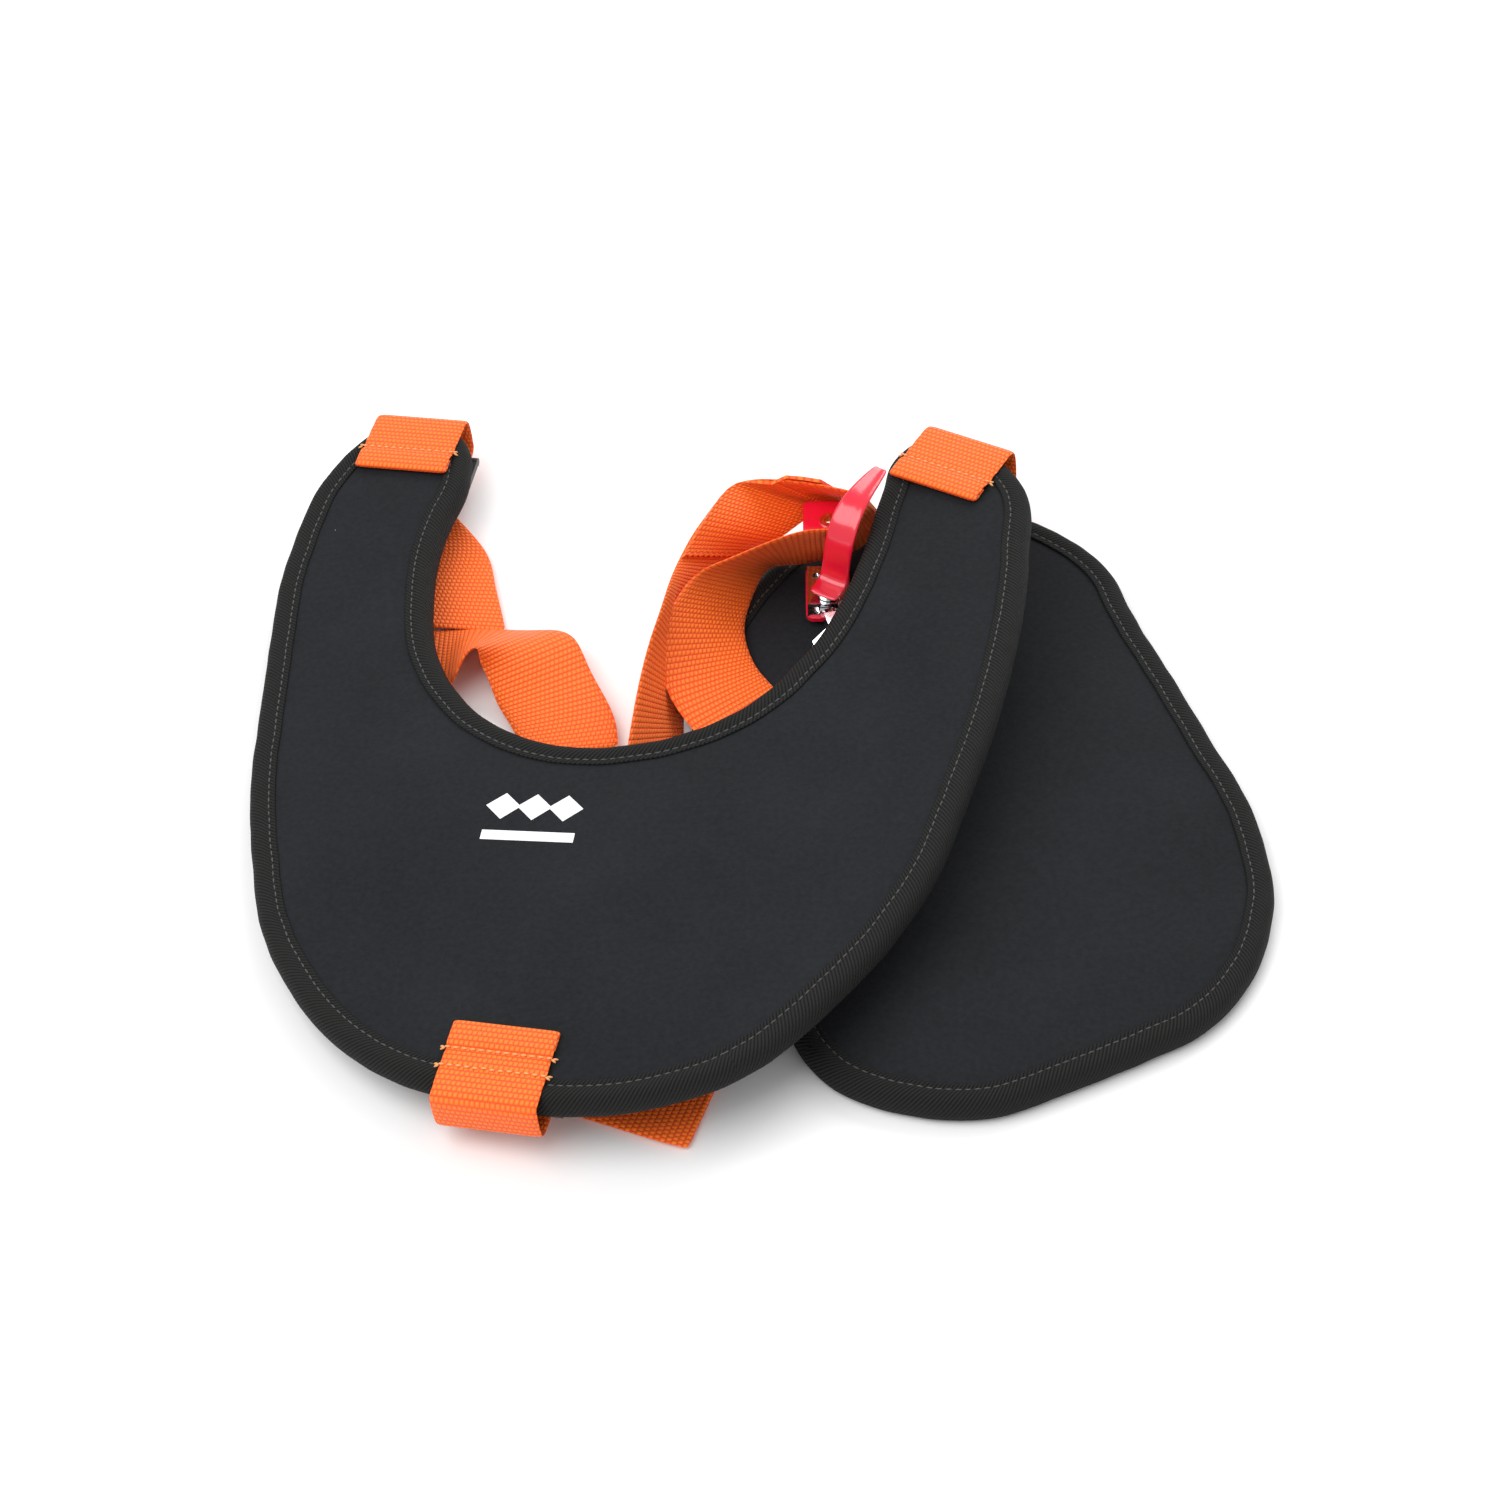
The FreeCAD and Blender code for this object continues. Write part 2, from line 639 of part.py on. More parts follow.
def rivet(x, low, high):
    """Solid rivet from one face to the other with a flat head on each."""
    shank = Part.makeCylinder(RIVET_RADIUS, high - low, Vector(x, RIVET_ROW, low))
    heads = []
    for z in (low - RIVET_CAP, high):
        heads.append(Part.makeCylinder(RIVET_HEAD, RIVET_CAP, Vector(x, RIVET_ROW, z)))
    return shank.fuse(heads).removeSplitter()


shanks = [rivet(side * RIVET_SIDE, TONGUE_Z, -inner) for side in (-1, 1)]
add_shape("release_rivets", Part.makeCompound(shanks), at_release(0, 0, 0))

HEAD = 2.0
HEAD_RADIUS = 4.2
PIN_PROUD = 0.4
PIN_CHAMFER = 0.6
pin_low = -FORK_OUT - PIN_PROUD
pin_high = FORK_OUT + PIN_PROUD
revolved("release_pin", at_release(0, 0, 0),
         [(0, pin_low), (PIN - PIN_CHAMFER, pin_low), (PIN, pin_low + PIN_CHAMFER), (PIN, pin_high),
          (HEAD_RADIUS, pin_high), (HEAD_RADIUS, pin_high + HEAD), (0, pin_high + HEAD)])

# The pull tab is a vinyl strip fixed on the pin's head that curls up and back.
tab_base = pin_high + HEAD
TAB_TURN = -30.0
tab_frame = at_release(0, 0, 0).multiply(Placement(Vector(), Rotation(Vector(0, 0, 1), TAB_TURN)))
tab = new_body("pull_tab", tab_frame)
tab_side = new_sketch(tab, "pull_tab_side", "YZ_Plane")
tab_path = [(-5.0, tab_base + VINYL / 2), (4.0, tab_base + VINYL / 2), (5.5, tab_base + 24.0),
            (22.0, tab_base + 31.0), (41.0, tab_base + 30.0)]
for piece in band_outline(tab_path, [3.0, 9.0, 9.0], VINYL):
    tab_side.addGeometry(piece, False)
new_pad(tab, tab_side, "Sizes.tab_width", midplane=True)

# ---------------------------------------------------------------- swivel hook
HOOK_TURN = -14.5
HOOK_FRAME = at_release(0, 0, 0).multiply(Placement(Vector(), Rotation(Vector(0, 0, 1), -90.0 - HOOK_TURN)))
STUD = size("stud_radius")
WIRE = size("hook_wire")
BARREL_START, BARREL_END = 10.0, 16.0
BARREL_SIDE = 4.5
BARREL_DEPTH = 8.0
EYE_RADIUS = 6.2
WINDOW_START, WINDOW_SIDE = 5.6, 3.3
STUD_START, STUD_REACH = 7.4, 10.0
STUD_HEAD_RADIUS, STUD_HEAD = 2.7, 1.8
eye = new_body("swivel_eye", HOOK_FRAME)
disc = new_sketch(eye, "swivel_eye_disc", "XY_Plane")
circle(disc, 0, 0, EYE_RADIUS)
new_pad(eye, disc, "Sizes.eye_thickness", midplane=True)
neck = new_sketch(eye, "swivel_eye_neck", "XY_Plane")
rectangle(neck, 3.5, -BARREL_SIDE, BARREL_START + 0.5, BARREL_SIDE)
new_pad(eye, neck, "Sizes.eye_thickness", midplane=True)
barrel = new_sketch(eye, "swivel_eye_barrel", "XY_Plane")
rectangle(barrel, BARREL_START, -BARREL_SIDE, BARREL_END, BARREL_SIDE)
new_pad(eye, barrel, str(BARREL_DEPTH), midplane=True)
bore = new_sketch(eye, "swivel_eye_bore", "XY_Plane")
circle(bore, 0, 0, PIN + GAP)
new_pocket(eye, bore, "Sizes.eye_thickness * 2", midplane=True)
window = new_sketch(eye, "swivel_eye_window", "XY_Plane")
rectangle(window, WINDOW_START, -WINDOW_SIDE, BARREL_START, WINDOW_SIDE)
new_pocket(eye, window, "Sizes.eye_thickness * 2", midplane=True)
stud_bore = new_sketch(eye, "swivel_eye_stud_bore", "YZ_Plane")
circle(stud_bore, 0, 0, STUD + GAP)
new_pocket(eye, stud_bore, str(4 * STUD_REACH), midplane=True)

BASE_START = BARREL_END + 0.5
BASE_END = 28.0
GATE_X, GATE_Y = 26.0, -9.5
KNUCKLE = 2.6
NOSE_X = 50.0
hook = new_body("hook_body", HOOK_FRAME)
bend = new_sketch(hook, "hook_bend", "XY_Plane")
hook_path = [(BASE_START + 4.5, 3.0), (27, 11.0), (57, 12.0), (66, 0.0), (57, -12.5), (NOSE_X, -11.5)]
for piece in band_outline(hook_path, [6.0, 10.0, 6.5, 6.0], WIRE):
    bend.addGeometry(piece, False)
new_pad(hook, bend, "Sizes.hook_thickness", midplane=True)
base = new_sketch(hook, "hook_base", "XY_Plane")
polygon(base, [(BASE_START, -5.0), (BASE_START, 5.0), (22.0, 9.0), (BASE_END, 7.0), (BASE_END, -6.0),
               (GATE_X + 3.0, GATE_Y - 3.0), (GATE_X - 3.5, GATE_Y - 3.0)])
new_pad(hook, base, "Sizes.hook_thickness", midplane=True)
clevis = new_sketch(hook, "hook_gate_slot", "XY_Plane")
rectangle(clevis, GATE_X - 3.2, GATE_Y - 4.0, GATE_X + 6.0, GATE_Y + 4.0)
new_pocket(hook, clevis, "Sizes.gate_thickness + Sizes.spring_height + 0.4", midplane=True)
pin_hole = new_sketch(hook, "hook_pin_hole", "XY_Plane")
circle(pin_hole, GATE_X, GATE_Y, size("gate_pin_radius"))
new_pocket(hook, pin_hole, "Sizes.hook_thickness * 2", midplane=True)
stud = new_sketch(hook, "hook_stud", "YZ_Plane", str(STUD_START))
circle(stud, 0, 0, STUD)
new_pad(hook, stud, str(STUD_REACH))
stud_head = new_sketch(hook, "hook_stud_head", "YZ_Plane", str(STUD_START))
circle(stud_head, 0, 0, STUD_HEAD_RADIUS)
new_pad(hook, stud_head, str(STUD_HEAD))

GATE_LOW = -size("spring_height") / 2
SPRING_LOW = GATE_LOW + size("gate_thickness") / 2 + 0.1
gate = new_body("hook_gate", HOOK_FRAME.multiply(Placement(Vector(GATE_X, GATE_Y, GATE_LOW), Rotation())))
gate_bar = new_sketch(gate, "hook_gate_bar", "XY_Plane")
reach = NOSE_X - GATE_X - 0.8
polygon(gate_bar, [(0, -KNUCKLE), (reach, -4.0), (reach, 0.4), (0, KNUCKLE)])
new_pad(gate, gate_bar, "Sizes.gate_thickness", midplane=True)
knuckle = new_sketch(gate, "hook_gate_knuckle", "XY_Plane")
circle(knuckle, 0, 0, KNUCKLE)
new_pad(gate, knuckle, "Sizes.gate_thickness", midplane=True)
gate_bore = new_sketch(gate, "hook_gate_bore", "XY_Plane")
circle(gate_bore, 0, 0, size("gate_pin_radius") + GAP)
new_pocket(gate, gate_bore, "Sizes.gate_thickness * 2", midplane=True)

gate_pin = new_body("gate_pin", HOOK_FRAME.multiply(Placement(Vector(GATE_X, GATE_Y, 0), Rotation())))
gate_pin_round = new_sketch(gate_pin, "gate_pin_round", "XY_Plane")
circle(gate_pin_round, 0, 0, size("gate_pin_radius"))
new_pad(gate_pin, gate_pin_round, "Sizes.hook_thickness", midplane=True)

COIL_WIRE = 1.0
coil = size("gate_pin_radius") + 0.1
coil_top = size("spring_height") - 0.1
revolved("gate_spring", HOOK_FRAME.multiply(Placement(Vector(GATE_X, GATE_Y, SPRING_LOW), Rotation())),
         [(coil, 0), (coil + COIL_WIRE, 0), (coil + COIL_WIRE, coil_top), (coil, coil_top)])

# ---------------------------------------------------------------- checks and export
doc.recompute()
for item in doc.Objects:
    if "Invalid" in item.State or "Error" in item.State:
        raise RuntimeError("failed feature: " + item.Name)
os.makedirs("parts", exist_ok=True)
for item in SUBPARTS:
    shape = item.Shape
    if shape.isNull() or not shape.isValid():
        raise RuntimeError("bad shape: " + item.Label)
    if item.isDerivedFrom("PartDesign::Body"):
        shape = Part.Compound(shape.Solids) if len(shape.Solids) > 1 else shape.Solids[0]
    shape.exportStep(os.path.join("parts", item.Label + ".step"))
    box = shape.BoundBox
    print("%-22s %2d solids %9.0f mm3  x %7.1f %7.1f  y %7.1f %7.1f  z %6.1f %6.1f" % (
        item.Label, len(shape.Solids), shape.Volume,
        box.XMin, box.XMax, box.YMin, box.YMax, box.ZMin, box.ZMax))
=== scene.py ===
# %% [markdown]
# # A brush cutter's shoulder harness, folded on a studio floor
# The harness is two flat foam pads bound in twill tape, joined by orange webbing,
# plastic ladder-lock buckles and a quick-release hook with a red pull tab.
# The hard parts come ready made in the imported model. The soft parts are made here:
# the pads are inflated as cloth, and the tape and webbing are laid row by row.

# %% Load the frame
import bpy
import math
from mathutils import Matrix, Vector, kdtree, noise


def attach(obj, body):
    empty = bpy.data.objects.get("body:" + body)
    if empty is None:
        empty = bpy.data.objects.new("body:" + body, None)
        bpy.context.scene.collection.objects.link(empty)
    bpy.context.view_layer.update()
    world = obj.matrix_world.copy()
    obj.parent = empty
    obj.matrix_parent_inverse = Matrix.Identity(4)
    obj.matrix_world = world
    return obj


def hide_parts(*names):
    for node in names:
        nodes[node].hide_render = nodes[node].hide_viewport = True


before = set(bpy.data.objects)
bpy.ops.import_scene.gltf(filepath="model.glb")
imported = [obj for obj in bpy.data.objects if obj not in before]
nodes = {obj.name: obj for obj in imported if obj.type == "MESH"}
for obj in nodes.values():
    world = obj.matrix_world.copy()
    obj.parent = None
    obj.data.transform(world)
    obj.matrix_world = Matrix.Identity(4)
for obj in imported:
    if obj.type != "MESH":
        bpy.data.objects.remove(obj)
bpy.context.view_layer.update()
MM = 0.001

# %% [markdown]
# The camera comes first, because every later choice is judged through it. It looks down
# at 47 degrees, as a person does at something laid on a table. A long lens from 1.3 m
# away keeps the pads' proportions honest. A camera points along its own minus Z, so a
# turn about X alone tips it from straight down towards the horizon.

# %% Camera
LOOK_DOWN = math.radians(47)
CAMERA_REACH = 1.312
look_at = Vector((-2.2, 11.8, 0)) * MM
back = Vector((0, -math.cos(LOOK_DOWN), math.sin(LOOK_DOWN)))
bpy.ops.object.select_all(action="DESELECT")
bpy.ops.object.camera_add(location=look_at + back * CAMERA_REACH,
                          rotation=(math.pi / 2 - LOOK_DOWN, 0, 0))
camera = bpy.context.object
camera.name = "table_camera"
camera.data.lens = 84
camera.data.sensor_width = 36
bpy.context.scene.camera = camera
print("camera", [round(x, 3) for x in camera.location])

# %% [markdown]
# The studio is a white floor, a broad lamp high on the left, a weaker one behind, and a
# pale world that fills the shadows. Large lamps give the soft gradients that show how
# matt foam cloth and glossy vinyl differ. Black cloth needs a lot of light to show its
# grain, so the lamps are strong enough to bring the floor close to white.

# %% Floor and lamps
def lamp(name, position, energy, size):
    """A square soft lamp aimed at the middle of the table."""
    position = Vector(position)
    bpy.ops.object.light_add(type="AREA", location=position)
    light = bpy.context.object
    light.name = name
    light.rotation_euler = (-position).to_track_quat("-Z", "Y").to_euler()
    light.data.energy = energy
    light.data.size = size


lamp("key_lamp", (-0.9, -0.5, 1.6), 26, 1.6)
lamp("back_lamp", (0.7, 1.5, 1.3), 22, 1.4)
bpy.context.scene.view_settings.view_transform = "Standard"
world = bpy.data.worlds.new("pale_room")
bpy.context.scene.world = world
world.use_nodes = True
background = world.node_tree.nodes["Background"]
background.inputs["Color"].default_value = (1, 1, 1, 1)
background.inputs["Strength"].default_value = 0.72

bpy.ops.mesh.primitive_plane_add(size=8, location=(0, 0, -0.0002))
floor = bpy.context.object
floor.name = "studio_floor"

# %% [markdown]
# Materials share small node helpers. `wire` adds one maths node and joins its inputs,
# so a pattern reads like a formula. Each pattern that more than one finish uses becomes
# a node group: it puts out heights and masks only, and every material keeps its own
# shader, colours and strengths.

# %% Node helpers
def wire(tree, operation, *inputs):
    """One maths node; each input is a number or another node's socket."""
    node = tree.nodes.new("ShaderNodeMath")
    node.operation = operation
    for slot, value in zip(node.inputs, inputs):
        if isinstance(value, (int, float)):
            slot.default_value = value
        else:
            tree.links.new(value, slot)
    return node.outputs[0]


def new_group(name, inputs, outputs):
    """A shader node group with named inputs and number outputs.

    An input with no default is a vector; the others are numbers."""
    group = bpy.data.node_groups.new(name, "ShaderNodeTree")
    for label, default in inputs.items():
        kind = "NodeSocketVector" if default is None else "NodeSocketFloat"
        socket = group.interface.new_socket(label, in_out="INPUT", socket_type=kind)
        if default is not None:
            socket.default_value = default
    for label in outputs:
        group.interface.new_socket(label, in_out="OUTPUT", socket_type="NodeSocketFloat")
    enter = group.nodes.new("NodeGroupInput")
    leave = group.nodes.new("NodeGroupOutput")
    return group, enter.outputs, leave.inputs


def speckle(tree, vector, scale, detail=2.0):
    """Fine noise on a vector, from 0 to 1."""
    node = tree.nodes.new("ShaderNodeTexNoise")
    node.inputs["Scale"].default_value = scale
    node.inputs["Detail"].default_value = detail
    tree.links.new(vector, node.inputs["Vector"])
    return node.outputs["Fac"]


def split(tree, vector):
    """The x, y and z of a vector."""
    node = tree.nodes.new("ShaderNodeSeparateXYZ")
    tree.links.new(vector, node.inputs[0])
    return node.outputs


def arch(tree, value):
    """Half a sine wave over each whole step of value: 0, up to 1, and back to 0."""
    return wire(tree, "SINE", wire(tree, "MULTIPLY", wire(tree, "FRACT", value), math.pi))


# %% [markdown]
# Webbing is woven with its weft hidden: the eye sees rows of short warp floats across
# the strap, each row shifted by half a float, like bricks. The UV map of every strap is
# in metres, x across and y along, so one formula gives the right size everywhere.

# %% Woven webbing group
weave_group, enter, leave = new_group(
    "woven_rows", {"Vector": None, "Row": 0.0021, "Float": 0.0018}, ["Height", "Gap_Shade"])
x, y, _ = split(weave_group, enter["Vector"])
weft = wire(weave_group, "DIVIDE", y, enter["Row"])
every_other = wire(weave_group, "FLOORED_MODULO", wire(weave_group, "FLOOR", weft), 2.0)
shift = wire(weave_group, "MULTIPLY", every_other, 0.5)
warp = wire(weave_group, "ADD", wire(weave_group, "DIVIDE", x, enter["Float"]), shift)
row_arch = arch(weave_group, weft)
column_arch = arch(weave_group, warp)
bulge = wire(weave_group, "MULTIPLY",
             wire(weave_group, "POWER", row_arch, 0.6),
             wire(weave_group, "MULTIPLY_ADD", wire(weave_group, "POWER", column_arch, 0.6), 0.8, 0.2))
weave_group.links.new(bulge, leave["Height"])
# This mask is painted shade: it is highest in the recesses between the floats, where the colour is
# darkened.
gap = wire(weave_group, "SUBTRACT", 1.0, wire(weave_group, "POWER", bulge, 0.8))
weave_group.links.new(gap, leave["Gap_Shade"])
print("group", weave_group.name, "nodes", len(weave_group.nodes))

# %% [markdown]
# Twill tape shows slanted ribs, and knitted face cloth a fine even grain. Both get their
# own group. The twill reads the tape's UV map, in metres, with x round the tape and y
# along it. The grain reads Object coordinates, because a simulated pad has no UV map.

# %% Twill and knit groups
twill_group, enter, leave = new_group(
    "twill_ribs", {"Vector": None, "Pitch": 0.0016}, ["Height", "Gap_Shade"])
x, y, _ = split(twill_group, enter["Vector"])
slanted = wire(twill_group, "ADD", wire(twill_group, "MULTIPLY", x, 0.75), y)
rib_arch = arch(twill_group, wire(twill_group, "DIVIDE", slanted, enter["Pitch"]))
broken = speckle(twill_group, enter["Vector"], 1400)
rib = wire(twill_group, "MULTIPLY", wire(twill_group, "POWER", rib_arch, 0.8),
           wire(twill_group, "MULTIPLY_ADD", broken, 0.8, 0.5))
twill_group.links.new(rib, leave["Height"])
# The twill's gap mask is painted shade for the grooves between the ribs.
twill_group.links.new(wire(twill_group, "SUBTRACT", 1.0, rib), leave["Gap_Shade"])

knit_group, enter, leave = new_group(
    "knit_grain", {"Vector": None, "Scale": 1.0}, ["Height", "Shade", "Lint"])
scaled = knit_group.nodes.new("ShaderNodeVectorMath")
scaled.operation = "SCALE"
knit_group.links.new(enter["Vector"], scaled.inputs[0])
knit_group.links.new(enter["Scale"], scaled.inputs["Scale"])
grain = speckle(knit_group, scaled.outputs[0], 1500, 1.0)
knit_group.links.new(grain, leave["Height"])
broad = speckle(knit_group, scaled.outputs[0], 22, 3.0)
fine = speckle(knit_group, scaled.outputs[0], 520, 2.0)
shade = wire(knit_group, "ADD",
             wire(knit_group, "MULTIPLY", broad, 0.45),
             wire(knit_group, "MULTIPLY", fine, 0.55))
knit_group.links.new(shade, leave["Shade"])
cells = knit_group.nodes.new("ShaderNodeTexVoronoi")
cells.inputs["Scale"].default_value = 55
knit_group.links.new(scaled.outputs[0], cells.inputs["Vector"])
close = wire(knit_group, "LESS_THAN", cells.outputs["Distance"], 0.028)
rare = wire(knit_group, "GREATER_THAN", split(knit_group, cells.outputs["Color"])[0], 0.9)
knit_group.links.new(wire(knit_group, "MULTIPLY", close, rare), leave["Lint"])
print("groups", [g.name for g in bpy.data.node_groups])

# %% [markdown]
# Every finish is built in the same few moves: a material, coordinates, a pattern, two
# colours for the pattern to run between, and a bump. Each move gets a helper. What is the
# same all over a surface, such as sheen, is set on the shader's own socket.

# %% Material helpers
def new_material(name, roughness, **constants):
    """A material with a Principled shader; constants go on the shader's own sockets."""
    material = bpy.data.materials.new(name)
    material.use_nodes = True
    shader = material.node_tree.nodes["Principled BSDF"]
    shader.inputs["Roughness"].default_value = roughness
    for label, value in constants.items():
        shader.inputs[label.replace("_", " ")].default_value = value
    return material, material.node_tree, shader


def coordinates(tree, output):
    """Where a pattern is placed: "Object" or "UV"."""
    return tree.nodes.new("ShaderNodeTexCoord").outputs[output]


def use_group(tree, group, vector, **values):
    """Places a node group in a material and gives its outputs."""
    node = tree.nodes.new("ShaderNodeGroup")
    node.node_tree = group
    tree.links.new(vector, node.inputs["Vector"])
    for label, value in values.items():
        node.inputs[label].default_value = value
    return node.outputs


def blend_colours(tree, factor, first, second):
    """A colour that runs from first to second as factor goes from 0 to 1."""
    ramp = tree.nodes.new("ShaderNodeValToRGB")
    ramp.color_ramp.elements[0].color = (*first, 1)
    ramp.color_ramp.elements[1].color = (*second, 1)
    tree.links.new(factor, ramp.inputs[0])
    return ramp.outputs[0]


def paint(tree, shader, factor, first, second):
    """Gives the shader a base colour that runs from first to second."""
    tree.links.new(blend_colours(tree, factor, first, second), shader.inputs["Base Color"])


def add_bump(tree, shader, height, distance):
    """Dents the surface by up to distance, in metres."""
    bump = tree.nodes.new("ShaderNodeBump")
    bump.inputs["Distance"].default_value = distance
    bump.inputs["Strength"].default_value = 1.0
    tree.links.new(height, bump.inputs["Height"])
    tree.links.new(bump.outputs[0], shader.inputs["Normal"])


# %% [markdown]
# The soft finishes. Bright polypropylene has painted shade, a deep red-orange, in the gaps
# between its floats, and a slight sheen along them. The face cloth is charcoal with paler
# specks of lint. The tape is blacker and more matt than the cloth, with painted shade in
# the grooves between its ribs, so only its ribs show. Sewing thread is a paler orange than
# the webbing, with fine noise that paints shade between the strands of its twist.

# %% Soft materials
webbing_material, tree, shader = new_material(
    "orange_polypropylene", 0.5, Sheen_Weight=0.05, Specular_IOR_Level=0.35)
pattern = use_group(tree, weave_group, coordinates(tree, "UV"))
# Painted shade: the gaps between the floats are painted a deeper red-orange than the floats.
paint(tree, shader, pattern["Gap_Shade"], (1.0, 0.205, 0.014), (0.90, 0.034, 0.002))
add_bump(tree, shader, pattern["Height"], 0.00045)

knit_material, tree, shader = new_material(
    "charcoal_face_cloth", 0.9, Sheen_Weight=0.03, Specular_IOR_Level=0.15)
pattern = use_group(tree, knit_group, coordinates(tree, "Object"))
cloth = blend_colours(tree, pattern["Shade"], (0.0035, 0.0040, 0.0050), (0.0200, 0.0218, 0.0250))
lint = tree.nodes.new("ShaderNodeMix")
lint.data_type = "RGBA"
tree.links.new(pattern["Lint"], lint.inputs[0])
tree.links.new(cloth, lint.inputs[6])
lint.inputs[7].default_value = (0.26, 0.27, 0.28, 1)
tree.links.new(lint.outputs[2], shader.inputs["Base Color"])
add_bump(tree, shader, pattern["Height"], 0.00012)

twill_material, tree, shader = new_material("black_twill_tape", 0.8, Specular_IOR_Level=0.2)
pattern = use_group(tree, twill_group, coordinates(tree, "UV"))
# Painted shade: the grooves between the ribs are painted almost black against the rib colour.
paint(tree, shader, pattern["Gap_Shade"], (0.0165, 0.0163, 0.0155), (0.0005, 0.0005, 0.0005))
add_bump(tree, shader, pattern["Height"], 0.0004)


def thread_material(name, colour):
    """Twisted thread: its own colour on the strands, with painted shade between them."""
    material, tree, shader = new_material(name, 0.6, Sheen_Weight=0.2)
    grain = speckle(tree, coordinates(tree, "Object"), 2600)
    # Painted shade: fine noise darkens the thread, down to 55 per cent, as shade between its strands.
    darker = tuple(c * 0.55 for c in colour)
    paint(tree, shader, grain, darker, colour)
    add_bump(tree, shader, grain, 0.0001)
    return material


orange_thread = thread_material("orange_thread", (1.0, 0.42, 0.13))
black_thread = thread_material("black_thread", (0.060, 0.060, 0.060))

# %% [markdown]
# The hard finishes. Moulded plastic is nearly black, a little glossy, with a faint grain.
# Vinyl is wet-looking red: a clear coat over a saturated base. Plated steel is a bright
# metal with tiny handling marks, and the gate's spring steel is the same but duller.

# %% Hard materials
plastic_material, tree, shader = new_material("moulded_plastic", 0.38)
grain = speckle(tree, coordinates(tree, "Object"), 900)
paint(tree, shader, grain, (0.012, 0.012, 0.013), (0.032, 0.032, 0.035))
add_bump(tree, shader, grain, 0.00008)

vinyl_material, tree, shader = new_material("red_vinyl", 0.22, Coat_Weight=0.6, Coat_Roughness=0.08)
grain = speckle(tree, coordinates(tree, "Object"), 60)
paint(tree, shader, grain, (0.62, 0.004, 0.022), (0.86, 0.010, 0.045))
add_bump(tree, shader, grain, 0.0004)


def metal_material(name, colour, rough_low, rough_high):
    """Bare metal whose handling marks change its roughness and shade."""
    material, tree, shader = new_material(name, rough_low, Metallic=1.0)
    marks = speckle(tree, coordinates(tree, "Object"), 260, 4.0)
    roughness = wire(tree, "MULTIPLY_ADD", marks, rough_high - rough_low, rough_low)
    tree.links.new(roughness, shader.inputs["Roughness"])
    dull = tuple(c * 0.86 for c in colour)
    paint(tree, shader, marks, dull, colour)
    add_bump(tree, shader, marks, 0.00003)
    return material


chrome_material = metal_material("plated_steel", (0.80, 0.80, 0.82), 0.05, 0.2)
gate_material = metal_material("spring_steel", (0.62, 0.62, 0.64), 0.2, 0.4)

ink_material, tree, shader = new_material("white_print", 0.6)
ink_grain = speckle(tree, coordinates(tree, "Object"), 900)
paint(tree, shader, ink_grain, (0.74, 0.74, 0.76), (0.9, 0.9, 0.92))
board_material, tree, shader = new_material("stiffener_sheet", 0.6)
board_grain = speckle(tree, coordinates(tree, "Object"), 300)
paint(tree, shader, board_grain, (0.05, 0.05, 0.05), (0.10, 0.10, 0.10))
floor_material, tree, shader = new_material("studio_white", 0.7)
floor_grain = speckle(tree, coordinates(tree, "Object"), 3)
paint(tree, shader, floor_grain, (0.90, 0.90, 0.90), (0.93, 0.93, 0.93))
floor.data.materials.append(floor_material)
print("materials", len(bpy.data.materials))

# %% [markdown]
# The yoke leans on its left edge, so its parts are drawn flat and then turned with it.
# `ON_YOKE` is that lean. The model's own pad gives the outline: the boundary of its flat
# top is followed round, and its corners are spaced evenly so that later rows are even.

# %% Frames and outlines
YOKE_RISE = 0.11
YOKE_MIDDLE = Vector((-40.2, 11.8, 22.17)) * MM
ON_YOKE = Matrix.Translation(YOKE_MIDDLE) @ Matrix.Rotation(-math.atan(YOKE_RISE), 4, "Y")
FLAT = Matrix.Identity(4)
OUTLINE_STEP = 0.0025
TOP_TOLERANCE = 0.00005


def place(x, y, z, turn=0.0, axis="Z"):
    """A frame at a point in millimetres, turned by degrees about one axis."""
    moved = Matrix.Translation(Vector((x, y, z)) * MM)
    return moved @ Matrix.Rotation(math.radians(turn), 4, axis)


def outline(node, pad_frame, step):
    """Evenly spaced points round the node's flat top, in the pad's frame, and its height."""
    mesh = nodes[node].data
    inward = pad_frame.inverted()
    points = [inward @ v.co for v in mesh.vertices]
    top = max(p.z for p in points)
    key = [(round(p.x, 6), round(p.y, 6)) for p in points]
    edges = {}
    for face in mesh.polygons:
        corners = list(face.vertices)
        if min(points[i].z for i in corners) < top - TOP_TOLERANCE:
            continue
        for a, b in zip(corners, corners[1:] + corners[:1]):
            pair = frozenset((key[a], key[b]))
            edges.setdefault(pair, []).append((key[a], key[b]))
    follow = {pair[0][0]: pair[0][1] for pair in edges.values() if len(pair) == 1}
    start = next(iter(follow))
    loop = [start]
    while follow[loop[-1]] != start:
        loop.append(follow[loop[-1]])
    ring = [Vector((x, y, 0)) for x, y in loop]
    lengths = [(b - a).length for a, b in zip(ring, ring[1:] + ring[:1])]
    count = round(sum(lengths) / step)
    even, travelled, i = [], 0.0, 0
    for k in range(count):
        goal = sum(lengths) * k / count
        while travelled + lengths[i] < goal:
            travelled += lengths[i]
            i += 1
        even.append(ring[i].lerp(ring[(i + 1) % len(ring)], (goal - travelled) / lengths[i]))
    return even, top


PADS = {
    "yoke": dict(frame=ON_YOKE, edge=outline("yoke_face_fabric", ON_YOKE, OUTLINE_STEP)),
    "hip": dict(frame=FLAT, edge=outline("hip_face_fabric", FLAT, OUTLINE_STEP)),
}
for name, pad in PADS.items():
    print(name, "outline points", len(pad["edge"][0]), "top", round(pad["edge"][1], 4))

